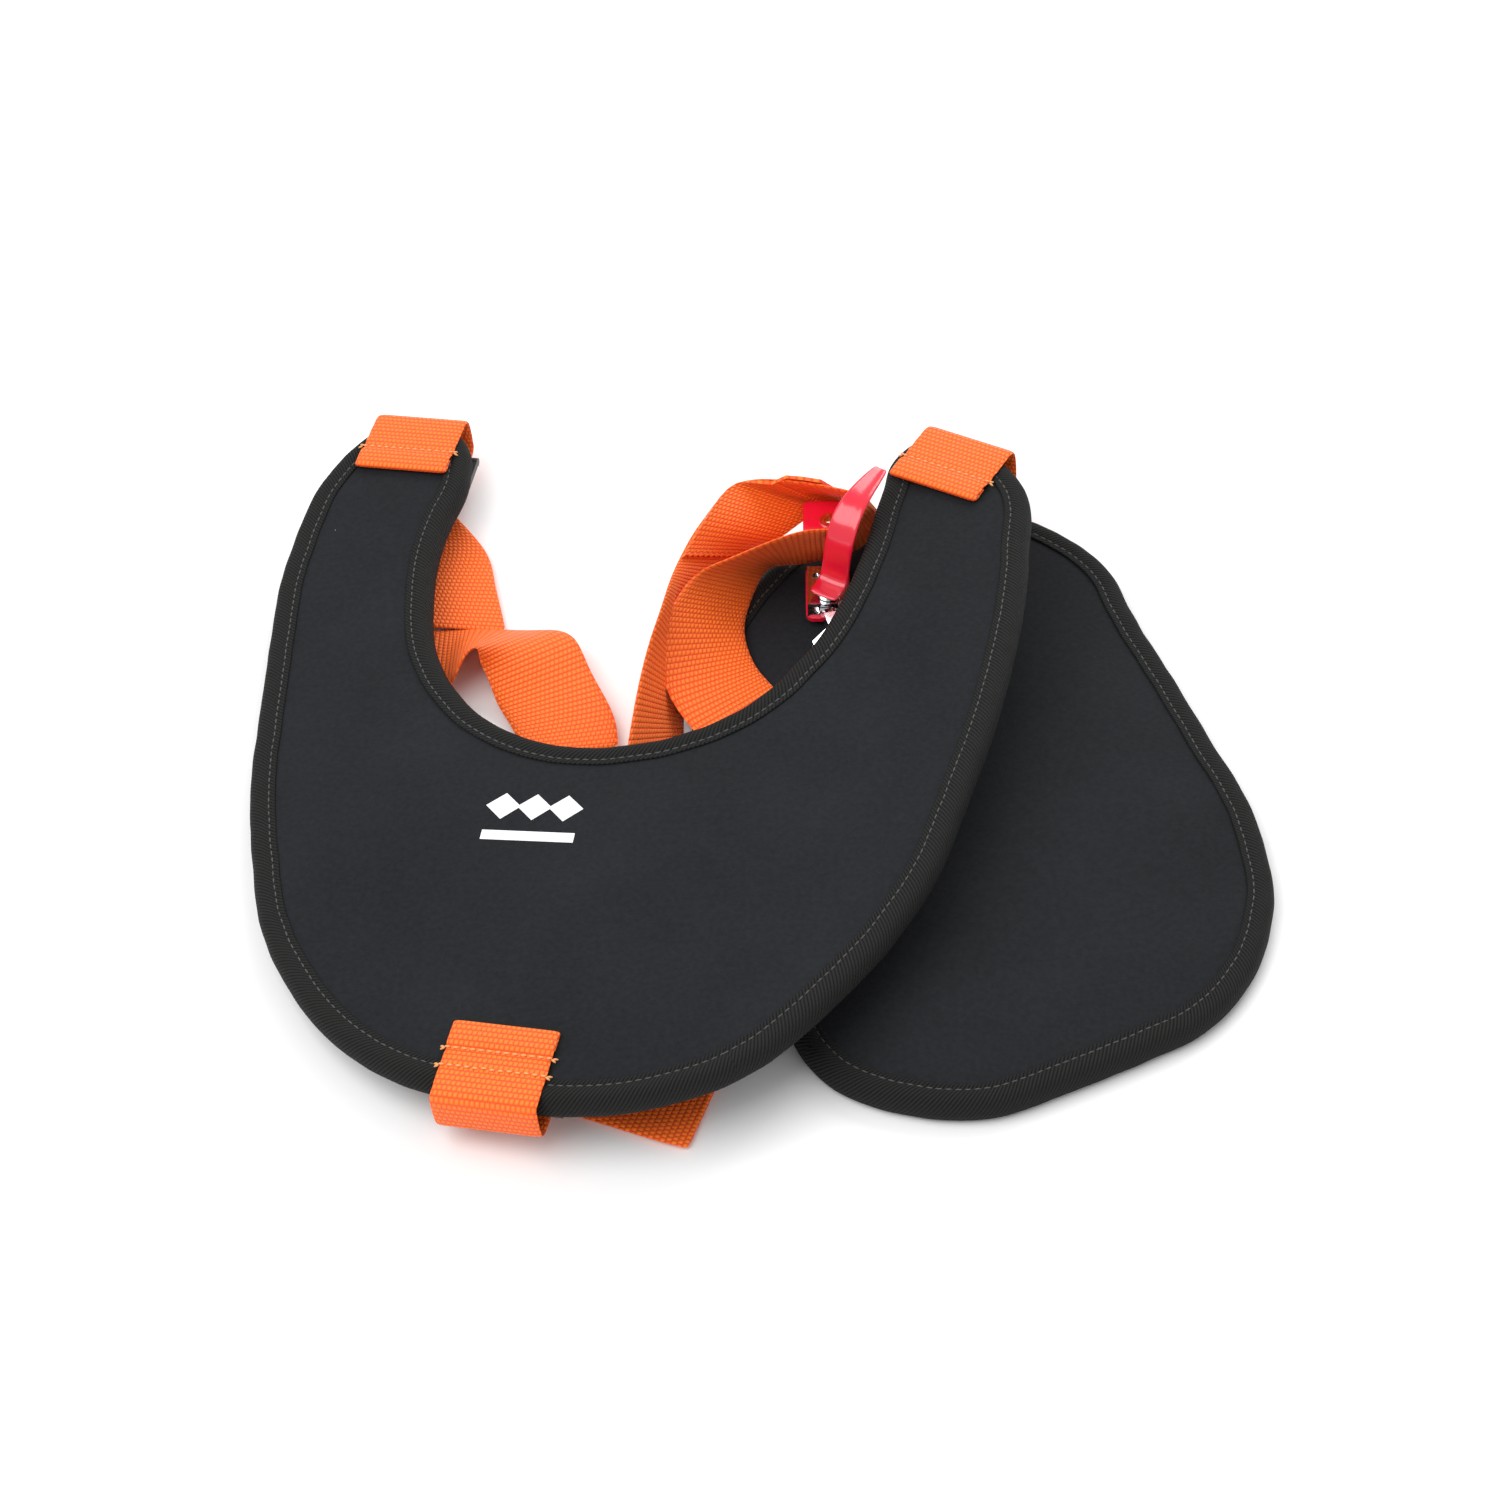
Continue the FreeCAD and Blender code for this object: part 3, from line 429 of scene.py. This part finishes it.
# %% [markdown]
# These helpers shape a grid primitive. A grid is the natural start for anything woven: its
# rows become places along the strap or tape, its columns places across, and it carries a
# UV map that only needs real lengths. The finished mesh is closed and faces outwards.

# %% Grid helpers
def clean_start():
    """Object mode with nothing selected, because operators act on all that is."""
    if bpy.context.object and bpy.context.object.mode != "OBJECT":
        bpy.ops.object.mode_set(mode="OBJECT")
    bpy.ops.object.select_all(action="DESELECT")


def activate(piece):
    """Selects one piece alone, for the operators that follow."""
    clean_start()
    piece.select_set(True)
    bpy.context.view_layer.objects.active = piece


def apply_modifier(piece, kind, **settings):
    """Adds one modifier, sets it and applies it."""
    activate(piece)
    modifier = piece.modifiers.new(kind.lower(), kind)
    for label, value in settings.items():
        setattr(modifier, label, value)
    bpy.ops.object.modifier_apply(modifier=modifier.name)


def smooth(piece, angle):
    """Smooth shading, except where faces meet at more than angle degrees."""
    activate(piece)
    bpy.ops.object.shade_smooth_by_angle(angle=math.radians(angle))


def laid_grid(name, rows, columns, spot):
    """A grid whose corner (row, column) goes to the place and UV that spot gives."""
    clean_start()
    bpy.ops.mesh.primitive_grid_add(x_subdivisions=columns - 1, y_subdivisions=rows - 1, size=1)
    piece = bpy.context.object
    piece.name = name
    mesh = piece.data
    uvs = {}
    for vertex in mesh.vertices:
        row = round((vertex.co.y + 0.5) * (rows - 1))
        column = round((vertex.co.x + 0.5) * (columns - 1))
        vertex.co, uvs[vertex.index] = spot(row, column)
    layer = mesh.uv_layers.active.data
    for loop in mesh.loops:
        layer[loop.index].uv = uvs[loop.vertex_index]
    return piece


MERGE_WITHIN = 0.00002


def weld(piece):
    """Closes a seam: doubles are merged, then all faces are turned outwards."""
    activate(piece)
    bpy.ops.object.mode_set(mode="EDIT")
    bpy.ops.mesh.select_all(action="SELECT")
    bpy.ops.mesh.remove_doubles(threshold=MERGE_WITHIN)
    bpy.ops.mesh.normals_make_consistent(inside=False)
    bpy.ops.object.mode_set(mode="OBJECT")


def finish_piece(piece, body, slot, material, *replaced):
    """Gives a piece its finish, the body it rides on and the nodes it stands for."""
    piece.data.materials.clear()
    piece.data.materials.append(material)
    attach(piece, body)
    if replaced:
        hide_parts(*replaced)
    size = [round(d / MM, 1) for d in piece.dimensions]
    print(piece.name, "faces", len(piece.data.polygons), "size mm", size)


# %% [markdown]
# Each pad is foam between two cloths, sewn all round. The model's foam is copied, made a
# little thin, and remeshed into small even faces. The copy's marks are cleared, so that it
# counts as a new piece and not as the model's own. Cloth pressure then swells it while its
# edge stays pinned, as the stitching holds the real pad. Movement is capped, so the pad
# never grows into its neighbours, and its underside stays flat, because it rests on the
# table or on the straps.

# %% Padded cushions
EDGE_PIN = 9 * MM
SWELL = {"yoke": 1.7 * MM, "hip": 1.5 * MM}
FLAT_UNDERSIDE = 0.4 * MM
VOXEL = 0.004
PRESSURE = 4
CLOTH_FRAMES = 20


def padded_piece(name, foam, low, high):
    """A pad swollen from the model's foam, which is first set between low and high."""
    pad = PADS[name]
    piece = nodes[foam].copy()
    piece.data = nodes[foam].data.copy()
    piece.name = name + "_pad"
    for key in list(piece.keys()):
        del piece[key]
    piece.parent = None
    piece.matrix_world = Matrix.Identity(4)
    bpy.context.scene.collection.objects.link(piece)
    weld(piece)
    inward = pad["frame"].inverted()
    heights = [(inward @ v.co).z for v in piece.data.vertices]
    middle = (max(heights) + min(heights)) / 2
    for vertex, height in zip(piece.data.vertices, heights):
        point = inward @ vertex.co
        point.z = high if height > middle else low
        vertex.co = pad["frame"] @ point
    apply_modifier(piece, "REMESH", mode="VOXEL", voxel_size=VOXEL)
    tree = kdtree.KDTree(len(pad["edge"][0]))
    for i, point in enumerate(pad["edge"][0]):
        tree.insert(point, i)
    tree.balance()
    before = [v.co.copy() for v in piece.data.vertices]
    pinned = piece.vertex_groups.new(name="sewn_edge")
    for vertex in piece.data.vertices:
        flat_point = inward @ vertex.co
        flat_point.z = 0
        if tree.find(flat_point)[2] < EDGE_PIN:
            pinned.add([vertex.index], 1.0, "REPLACE")
    activate(piece)
    cloth = piece.modifiers.new("cloth", "CLOTH")
    cloth.settings.use_pressure = True
    cloth.settings.uniform_pressure_force = PRESSURE
    cloth.settings.vertex_group_mass = "sewn_edge"
    cloth.settings.effector_weights.gravity = 0
    for step in range(1, CLOTH_FRAMES + 1):
        bpy.context.scene.frame_set(step)
    bpy.ops.object.modifier_apply(modifier="cloth")
    bpy.context.scene.frame_set(1)
    for vertex, start in zip(piece.data.vertices, before):
        moved = vertex.co - start
        if moved.length > SWELL[name]:
            vertex.co = start + moved.normalized() * SWELL[name]
    for vertex in piece.data.vertices:
        point = inward @ vertex.co
        point.z = max(point.z, FLAT_UNDERSIDE)
        vertex.co = pad["frame"] @ point
    apply_modifier(piece, "SMOOTH", factor=0.5, iterations=4)
    apply_modifier(piece, "SUBSURF", levels=1, render_levels=1)
    smooth(piece, 180)
    return piece


yoke_pad = padded_piece("yoke", "yoke_foam_core", 1.0 * MM, 8.9 * MM)
finish_piece(yoke_pad, "harness", "pad_face", knit_material,
             "yoke_back_lining", "yoke_foam_core", "yoke_face_fabric")
hip_pad = padded_piece("hip", "hip_foam_core", 0.9 * MM, 9.0 * MM)
finish_piece(hip_pad, "harness", "pad_face", knit_material,
             "hip_back_lining", "hip_foam_core", "hip_face_fabric")

# %% [markdown]
# Twill tape is folded over the pads' raw edges and sewn through. Its section is drawn
# once as points: out is how far past the pad's edge, up is the height. The sewn line
# pinches it, and outside that line it puffs up. The rows follow the outline, and small
# noise makes the hand-guided sewing a little uneven.

# %% Tape round the edges
SWAY_DETAIL = 90
SWAY = 0.35


def sewing_sway(point):
    """How far, in millimetres, the hand-guided sewing strays at an outline point."""
    return noise.noise(point * SWAY_DETAIL) * SWAY


def outward_at(ring, i, reach=2):
    """The level direction that leaves the pad at one outline point."""
    along = ring[(i + reach) % len(ring)] - ring[i - reach]
    return Vector((along.y, -along.x, 0)).normalized()


def tape(name, thick, node):
    """Binds a pad and gives 1 or -1, the side of its outline that is outside."""
    pad = PADS[name]
    ring, top = pad["edge"]
    area = sum(a.x * b.y - b.x * a.y for a, b in zip(ring, ring[1:] + ring[:1]))
    side = 1 if area > 0 else -1
    outer_wall = [
        (-9.6, thick + 0.1), (-8.2, thick - 0.05), (-7.2, thick - 0.45), (-6.0, thick + 0.25),
        (-3.8, thick + 0.55), (-1.6, thick + 0.05), (-0.1, thick * 0.84), (0.7, thick * 0.55),
        (0.5, thick * 0.28), (-0.8, 0.35), (-3.0, 0.0), (-7.0, 0.05), (-9.8, 0.1)]
    inner_wall = [
        (-9.8, 0.9), (-3.0, 0.85), (-1.4, 1.4), (-0.4, thick * 0.32), (-0.2, thick * 0.55),
        (-0.9, thick * 0.78), (-2.2, thick - 0.8), (-3.8, thick - 0.3), (-6.0, thick - 0.55),
        (-7.2, thick - 1.15), (-9.7, thick - 0.75)]
    section = outer_wall + inner_wall
    around = [0.0]
    for a, b in zip(section, section[1:] + section[:1]):
        around.append(around[-1] + math.dist(a, b) * MM)
    along = [0.0]
    for a, b in zip(ring, ring[1:] + ring[:1]):
        along.append(along[-1] + (b - a).length)

    def spot(row, column):
        i = row % len(ring)
        out, up = section[column % len(section)]
        loose = 0.3 if 2 < column < 8 else 0.12
        puff = noise.noise(ring[i] * 160 + Vector((7, 0, 0))) * loose
        up = up + puff if up > 0.5 else up
        level = ring[i] + outward_at(ring, i) * side * (out + sewing_sway(ring[i])) * MM
        return pad["frame"] @ Vector((level.x, level.y, up * MM)), (around[column], along[row])

    piece = laid_grid(name + "_tape", len(ring) + 1, len(section) + 1, spot)
    weld(piece)
    apply_modifier(piece, "SUBSURF", levels=1, render_levels=1)
    smooth(piece, 180)
    finish_piece(piece, "harness", "binding", twill_material, node)
    return side


yoke_side = tape("yoke", 9.8, "yoke_edge_binding")
hip_side = tape("hip", 10.1, "hip_edge_binding")

# %% [markdown]
# Stitches are what make cloth look sewn. One stitch is a tiny capsule: a low sphere,
# stretched. It is copied along a line of places, each copy turned to follow the line and
# sunk a little into the cloth, and the copies are joined into one row.

# %% Stitch rows
STITCH_PITCH = 3.3 * MM
UP = Vector((0, 0, 1))


def one_stitch(length, width):
    """The single stitch that the rest are copied from."""
    clean_start()
    bpy.ops.mesh.primitive_uv_sphere_add(segments=6, ring_count=4, radius=0.5)
    stitch = bpy.context.object
    stitch.scale = (length, width, width * 0.8)
    bpy.ops.object.transform_apply(location=False, rotation=False, scale=True)
    return stitch


def stitch_row(name, spots, length, width, body, slot, material):
    """A row of stitches as one piece; spots holds (position, along, up) for each."""
    first = one_stitch(length, width)
    copies = []
    for position, along, up in spots:
        copy = first.copy()
        copy.data = first.data.copy()
        side = up.cross(along).normalized()
        turn = Matrix((along.normalized(), side, along.normalized().cross(side))).transposed()
        copy.matrix_world = Matrix.Translation(position) @ turn.to_4x4()
        bpy.context.scene.collection.objects.link(copy)
        copies.append(copy)
    bpy.data.objects.remove(first)
    clean_start()
    for copy in copies:
        copy.select_set(True)
    bpy.context.view_layer.objects.active = copies[0]
    bpy.ops.object.join()
    piece = bpy.context.object
    piece.name = name
    bpy.ops.object.transform_apply(location=True, rotation=True, scale=True)
    smooth(piece, 180)
    finish_piece(piece, body, slot, material)


def tape_stitches(name, side, inset, height):
    """Places for stitches round a pad, a set way in from its edge."""
    ring = PADS[name]["edge"][0]
    turn = PADS[name]["frame"]
    line = []
    for i, point in enumerate(ring):
        level = point - outward_at(ring, i) * side * (inset - sewing_sway(point)) * MM
        line.append(turn @ Vector((level.x, level.y, height * MM)))
    spots = []
    goal = 0.0
    travelled = 0.0
    for a, b in zip(line, line[1:] + line[:1]):
        gap = (b - a).length
        while goal < travelled + gap:
            spots.append((a.lerp(b, (goal - travelled) / gap), b - a, turn.to_3x3() @ UP))
            goal += STITCH_PITCH
        travelled += gap
    return spots


for name, side, height in (("yoke", yoke_side, 9.5), ("hip", hip_side, 9.8)):
    stitch_row(name + "_tape_stitches", tape_stitches(name, side, 7.2, height),
               2.7 * MM, 0.65 * MM, "harness", "binding", black_thread)

# %% [markdown]
# A strap is a flat ribbon, so its route is a list of rows: the near and far edge of the
# webbing at each place, in millimetres. A smooth curve is run through the rows, the grid
# is laid on them, and the ribbon is given its thickness last. The UV map is in metres,
# so the weave keeps its size whatever way the strap turns.

# %% Laying webbing
WIDTH = 38.0
THICK = 1.4 * MM
COLUMNS = 9
SHIFT = Vector((-2.2, 11.8, 0))


def row(near, far):
    """The middle and width direction of webbing that ends on the far edge."""
    near, far = Vector(near), Vector(far)
    across = (far - near).normalized()
    return (far - across * WIDTH / 2 + SHIFT) * MM, across


def between(before, here, after, beyond, share):
    """A smooth point between here and after."""
    return (here * 2 + (after - before) * share
            + (before * 2 - here * 5 + after * 4 - beyond) * share ** 2
            + (here * 3 - before - after * 3 + beyond) * share ** 3) * 0.5


def smooth_rows(rows, steps):
    """The rows with steps - 1 more between each two, on a smooth curve."""
    fine = []
    last = len(rows) - 1
    for i in range(last):
        four = [rows[k] for k in (max(i - 1, 0), i, i + 1, min(i + 2, last))]
        for step in range(steps):
            middle = between(*[r[0] for r in four], step / steps)
            across = between(*[r[1] for r in four], step / steps).normalized()
            fine.append((middle, across))
    return fine + [rows[-1]]


def webbing(name, rows, body, node, steps=4):
    """A strap laid on its rows, standing for one node of the model."""
    fine = smooth_rows(rows, steps)
    along = [0.0]
    for a, b in zip(fine, fine[1:]):
        along.append(along[-1] + (b[0] - a[0]).length)

    def spot(i, column):
        middle, across = fine[i]
        share = column / (COLUMNS - 1) - 0.5
        ragged = 0
        if abs(share) == 0.5:
            ragged = noise.noise(Vector((share * 40, along[i] * 260, 3))) * 0.0003
        width = WIDTH * MM
        return middle + across * (share * width + ragged), (share * width, along[i])

    piece = laid_grid(name, len(fine), COLUMNS, spot)
    apply_modifier(piece, "SOLIDIFY", thickness=THICK, offset=0)
    apply_modifier(piece, "SUBSURF", levels=1, render_levels=1)
    smooth(piece, 50)
    finish_piece(piece, body, "orange_webbing", webbing_material, node)
    print(name, "length mm", round(along[-1] / MM))


# %% [markdown]
# Three loops are sewn to the yoke. Each starts with its end folded under as a hem, runs
# out over the pad's edge, turns down round a buckle's hinge bar and comes back under.
# The side view is the same for all three, so it is drawn once, in a frame whose Y leaves
# the pad and whose Z is the pad's normal.

# %% Sewn loops
LOOPS = {
    "left": ON_YOKE @ place(-93.0, 160.8, 0, -13.2),
    "right": ON_YOKE @ place(125.3, 121.8, 0, -31.0),
    "back": ON_YOKE @ place(-50.0, -184.5, 0, 167.0),
}
HEM = [(-22.0, 10.6), (-26.0, 10.6), (-29.0, 10.7), (-30.2, 11.3), (-29.0, 12.0),
       (-25.0, 12.1), (-21.5, 11.9)]
OVER_THE_PAD = [(-19.0, 10.65), (-16.5, 10.95), (-14.0, 11.0), (-11.5, 10.75), (-9.0, 10.95),
                (-3.0, 10.7), (-0.6, 10.4)]
ROUND_THE_EDGE = [(1.3, 9.3), (2.1, 7.4), (2.3, 4.0), (2.2, -1.5), (1.5, -4.2), (-0.6, -5.8)]
ROUND_THE_BAR = [(-3.5, -6.2), (-8.5, -6.2), (-10.8, -5.6), (-13.2, -3.6), (-15.3, -1.7),
                 (-18.0, -0.8), (-22.0, -0.8)]
LOOP_SIDE = HEM + OVER_THE_PAD + ROUND_THE_EDGE + ROUND_THE_BAR
for side, loop_frame in LOOPS.items():
    across = loop_frame.to_3x3() @ Vector((1, 0, 0))
    rows = [(loop_frame @ (Vector((0, s, w)) * MM), across) for s, w in LOOP_SIDE]
    webbing("sewn_loop_" + side, rows, "harness", "webbing_loop_" + side,
            steps=2)


STITCHES_ACROSS = 13


def loop_stitches(side, distance, height):
    """Stitch places in a row across a loop, and a frayed thread tail at each end."""
    loop_frame = LOOPS[side]
    turn = loop_frame.to_3x3()
    spots = []
    for k in range(STITCHES_ACROSS):
        x = (k / (STITCHES_ACROSS - 1) - 0.5) * 36.0
        jitter = noise.noise(Vector((k, distance, 1))) * 0.35
        spots.append((loop_frame @ (Vector((x, distance + jitter, height)) * MM),
                      turn @ Vector((1, 0.12 * jitter, 0)), turn @ UP))
    for end in (-1, 1):
        for k, lean in enumerate((0.5, -0.3)):
            middle = Vector((end * (19.6 + k * 0.4), distance + lean * 1.2, height - 0.5 - k * 0.3))
            tail = turn @ Vector((end, lean, -0.35))
            spots.append((loop_frame @ (middle * MM), tail, turn @ UP))
    return spots


for side, distances in (("left", (-19.0,)), ("right", (-19.0,)), ("back", (-19.0, -11.5))):
    for k, distance in enumerate(distances):
        height = 11.75 if k == 0 else 11.8
        stitch_row("loop_stitches_%s_%d" % (side, k + 1), loop_stitches(side, distance, height),
                   2.3 * MM, 0.95 * MM, "harness", "orange_webbing", orange_thread)

# %% [markdown]
# Every buckle's end bar has webbing folded round it: the tail on top and the working leg
# below. `hairpin` gives those rows from the buckle's own frame, which hangs from its
# loop by the droop angle. The other rows are the strap's way across the table.

# %% Straps through the buckles
def hairpin(buckle, tail, leg=6.0):
    """Rows of webbing folded round a buckle's end bar, tail first."""
    half, bend, end = 2.4, -18.54, -23.5
    spots = [(end - tail, half), (end - tail / 2, half), (end, half), (bend, half)]
    spots += [(bend + half * math.sin(quarter * math.pi / 4),
               half * math.cos(quarter * math.pi / 4)) for quarter in (1, 2, 3)]
    spots += [(bend, -half), (end, -half), (end - leg, -half)]
    across = buckle.to_3x3() @ Vector((1, 0, 0))
    return [(buckle @ (Vector((0, y, z)) * MM), across) for y, z in spots]


DROOP = {"left": 4.0, "right": 14.0, "back": 9.0}
BUCKLES = {side: LOOPS[side] @ place(0, -8.0, -3.4, droop, "X") for side, droop in DROOP.items()}
BUCKLES["front"] = place(-69.2, -0.2, 4.4, 4.0)

left_rows = [row((-132, 62, 3.5), (-94, 60, 2.5)), row((-137, 84, 3.5), (-99, 83, 3.5)),
             row((-142, 104, 3.5), (-104, 104, 3.5))]
left_rows += hairpin(BUCKLES["left"], 4.0)
left_rows += [row(near, far) for near, far in (
    ((-176, 62, 1.6), (-139, 70, 1.6)), ((-156, 30, 1.6), (-138, 62, 1.6)),
    ((-131, 26, 2.0), (-127, 62, 1.6)), ((-116, 30, 4.5), (-116, 62, 1.6)),
    ((-107, 36, 17), (-106, 62, 1.8)), ((-100, 36, 19), (-87, 60, 3)),
    ((-98, 31, 12), (-68, 49, 12)), ((-93, 20, 5), (-60, 32, 9)),
    ((-88, 6, 2.5), (-51, 12, 6)), ((-87, -6, 3.2), (-49, -3, 5)))]
webbing("left_strap_webbing", left_rows, "left_strap", "strap_left")

front_rows = hairpin(BUCKLES["front"], 14.0) + [row(near, far) for near, far in (
    ((-84, -66, 3.5), (-47, -58, 3.5)), ((-72, -92, 6), (-38, -76, 8)),
    ((-46, -114, 12), (-20, -88, 12)), ((-24, -112, 12.5), (-14, -76, 12)))]
webbing("front_strap_webbing", front_rows, "left_strap", "strap_front")

right_rows = hairpin(BUCKLES["right"], 12.0) + [row(near, far) for near, far in (
    ((50, 62, 16), (86, 54, 15)), ((55, 42, 11.5), (93, 38, 11.5)), ((58, 28, 11.5), (96, 25, 11.5)))]
webbing("right_strap_webbing", right_rows, "right_strap", "strap_right")

back_rows = hairpin(BUCKLES["back"], 10.0) + [row((-47, -124, 2.0), (-84, -116, 2.0))]
webbing("back_strap_webbing", back_rows, "back_strap", "strap_back")

tail_rows = [row(near, far) for near, far in (
    ((-47.5, -136, 1.2), (-60.4, -171.6, 1.2)), ((-33.5, -141.5, 1.2), (-46.5, -177.2, 1.6)),
    ((-20, -147, 1.2), (-32.5, -182.8, 2.0)), ((-8, -150.5, 1.2), (-21, -186.2, 1.8)))]
webbing("tail_strap_webbing", tail_rows, "harness", "strap_tail")

# %% [markdown]
# The widest strap path is the hook's hanger. It rises from the table, rolls over in a
# broad loop, and comes back down along the hip pad, so one ribbon shows its outer face,
# its edge and its inner face. Rows are closer together where it turns.

# %% Hook hanger strap
hook_rows = [row(near, far) for near, far in (
    ((-40, -16, 17), (-25, 2, 1.6)), ((-36, 17, 26), (-25, 29, 2)), ((-31, 40, 32), (-24, 52, 6)),
    ((-26, 67, 36), (-3, 88, 16)), ((-15, 85, 38), (12, 96, 20)), ((-4, 105, 38), (27, 109, 20)),
    ((18, 106, 37), (38, 117, 15)), ((40, 100.5, 37), (47, 118.5, 12)), ((46, 94, 38), (53, 112, 12)),
    ((42, 86, 38), (49, 104, 12)), ((37, 78, 38), (39, 94, 12)), ((19, 75, 37), (21, 88, 12)),
    ((-4, 67, 35), (8, 86, 12)), ((-19, 58, 33), (2, 73, 11.6)), ((-28, 40, 27), (-2, 53, 11.6)),
    ((-24, 24, 16), (1, 36, 11.6)), ((-19, 1, 12.0), (8, 23, 11.6)), ((-6, -14, 11.6), (21, 8, 11.6)))]
webbing("hook_hanger_webbing", hook_rows, "harness", "strap_hook_loop")

# %% [markdown]
# The hanger's loop is closed by sewing its end back on itself. That end shows as a second
# layer with a saw-toothed cut edge. It reuses the hanger's own rows, lifted outwards by
# one thickness, so it lies on the first layer wherever that goes.

# %% Sewn end of the hanger
FIRST_ROW, LAST_ROW = 12, 26
END_LIFT = 1.55
END_WIDTH = 38.2
TEETH = 24
TOWARDS_VIEWER = Vector((-0.4, -0.5, 1.0))
hanger = smooth_rows(hook_rows, 4)
lifted = []
for i in range(FIRST_ROW, LAST_ROW + 1):
    middle, across = hanger[i]
    normal = across.cross(hanger[i + 1][0] - hanger[i - 1][0]).normalized()
    if normal.dot(TOWARDS_VIEWER) < 0:
        normal = -normal
    lifted.append((middle + normal * END_LIFT * MM, across))
print("hanger end rows", len(lifted))


def cut_end(i, column):
    """The layer's grid: its first row is cut in teeth."""
    middle, across = lifted[i]
    share = column / TEETH - 0.5
    tooth = (0.9 if column % 2 else -0.2) * MM if i == 0 else 0.0
    ahead = (lifted[1][0] - lifted[0][0]).normalized()
    distance = sum((lifted[k + 1][0] - lifted[k][0]).length for k in range(i))
    corner = middle + across * share * END_WIDTH * MM + ahead * tooth
    return corner, (share * 38 * MM, distance)


end_layer = laid_grid("hanger_sewn_end", len(lifted), TEETH + 1, cut_end)
apply_modifier(end_layer, "SOLIDIFY", thickness=1.3 * MM, offset=0)
smooth(end_layer, 50)
finish_piece(end_layer, "harness", "orange_webbing", webbing_material)

# %% [markdown]
# The pull tab is a strip of red vinyl fixed on the release pin's head. It curls up and
# back and narrows to its tip. A grid follows a side view of the curl, wider at the foot,
# and gets its thickness and soft edges from Solidify and a subdivision.

# %% Pull tab
RELEASE = place(27.8, 72.8, 18.5, -30.0)
CURL = [(-5.0, 6.6, 12), (-1.5, 6.6, 12), (1.6, 6.7, 12), (4.0, 7.8, 12), (5.2, 11.0, 12),
        (5.9, 16.0, 12), (6.8, 21.5, 12), (8.8, 27.5, 12), (12.5, 32.6, 11.6),
        (18.0, 35.8, 10.8), (24.5, 36.9, 9.6), (31.0, 37.0, 8.2), (37.0, 36.8, 6.6),
        (40.5, 36.6, 5.2)]
CURL_COLUMNS = 5


def curl_spot(i, column):
    """The tab's grid: each row is one (reach, rise, width) of the side view."""
    reach, rise, wide = CURL[i]
    share = column / (CURL_COLUMNS - 1) - 0.5
    cup = (1 - 4 * share * share) * 0.5
    point = Vector((share * wide, reach, rise - cup))
    return RELEASE @ (point * MM), (share, i / (len(CURL) - 1))


pull_tab = laid_grid("pull_tab_vinyl", len(CURL), CURL_COLUMNS, curl_spot)
apply_modifier(pull_tab, "SOLIDIFY", thickness=1.5 * MM, offset=0)
apply_modifier(pull_tab, "SUBSURF", levels=2, render_levels=2)
smooth(pull_tab, 180)
finish_piece(pull_tab, "release_pull", "red_vinyl", vinyl_material, "pull_tab")

# %% [markdown]
# The printed mark is generic: three plain diamonds over a bar, in white ink. Thin grids
# are placed flat, bent to the cloth with a shrinkwrap, and given a hair of thickness, so
# the print follows the pad's swell without sinking into it.

# %% Printed mark
ABOVE_CLOTH = 11.5
INK = 0.00012
MARK_CENTRE = (-38.5, -56.5)
MARK_TURN = math.radians(-8.6)
DIAMOND = 6.4


def ink_stroke(start, end, width):
    """A flat strip between two points on the yoke, in millimetres."""
    start, end = Vector((*start, ABOVE_CLOTH)), Vector((*end, ABOVE_CLOTH))
    along = end - start
    side = Vector((-along.y, along.x, 0)).normalized()

    def spot(i, j):
        point = start + along * i / 6 + side * width * (j / 2 - 0.5)
        return ON_YOKE @ (point * MM), (i, j)

    return laid_grid("ink_stroke", 7, 3, spot)


def turned(x, y):
    """A point of the mark's own drawing, as a point on the yoke."""
    cos, sin = math.cos(MARK_TURN), math.sin(MARK_TURN)
    return (MARK_CENTRE[0] + x * cos - y * sin, MARK_CENTRE[1] + x * sin + y * cos)


strokes = [ink_stroke(turned(-17, -12), turned(17, -12), 4.4)]
for x in (-11.5, 0, 11.5):
    strokes.append(ink_stroke(turned(x - 3.2, -1.2), turned(x + 3.2, 5.2),
                              DIAMOND * math.sqrt(2)))
clean_start()
for stroke in strokes:
    stroke.select_set(True)
bpy.context.view_layer.objects.active = strokes[0]
bpy.ops.object.join()
mark = bpy.context.object
mark.name = "printed_mark"
apply_modifier(mark, "SHRINKWRAP", target=yoke_pad, offset=INK,
               wrap_method="NEAREST_SURFACEPOINT")
apply_modifier(mark, "SOLIDIFY", thickness=INK, offset=0)
finish_piece(mark, "harness", "pad_face", ink_material)

# %% [markdown]
# The remaining pieces keep their model shapes and only take a finish: buckles in moulded
# plastic, the hook and its fittings in plated steel, the gate and its spring in duller
# steel, the release's two leaves in red vinyl, and the hip pad's stiffener in sheet.

# %% Finishes for the hard parts
FINISHES = {
    plastic_material: ["ladder_lock_left", "ladder_lock_right", "ladder_lock_back",
                       "ladder_lock_front"],
    chrome_material: ["release_fork", "release_eyelet", "release_rivets", "release_pin",
                      "swivel_eye", "hook_body", "gate_pin"],
    gate_material: ["hook_gate", "gate_spring"],
    vinyl_material: ["release_tongue", "release_flap"],
    board_material: ["hip_stiffener_board"],
}
for material, names in FINISHES.items():
    for node_name in names:
        node = nodes[node_name]
        for index in range(max(1, len(node.material_slots))):
            if not node.material_slots:
                node.data.materials.append(material)
            node.material_slots[index].material = material
    print(material.name, len(names))

# %% [markdown]
# Last, nothing is left selected.

# %% Finish
clean_start()
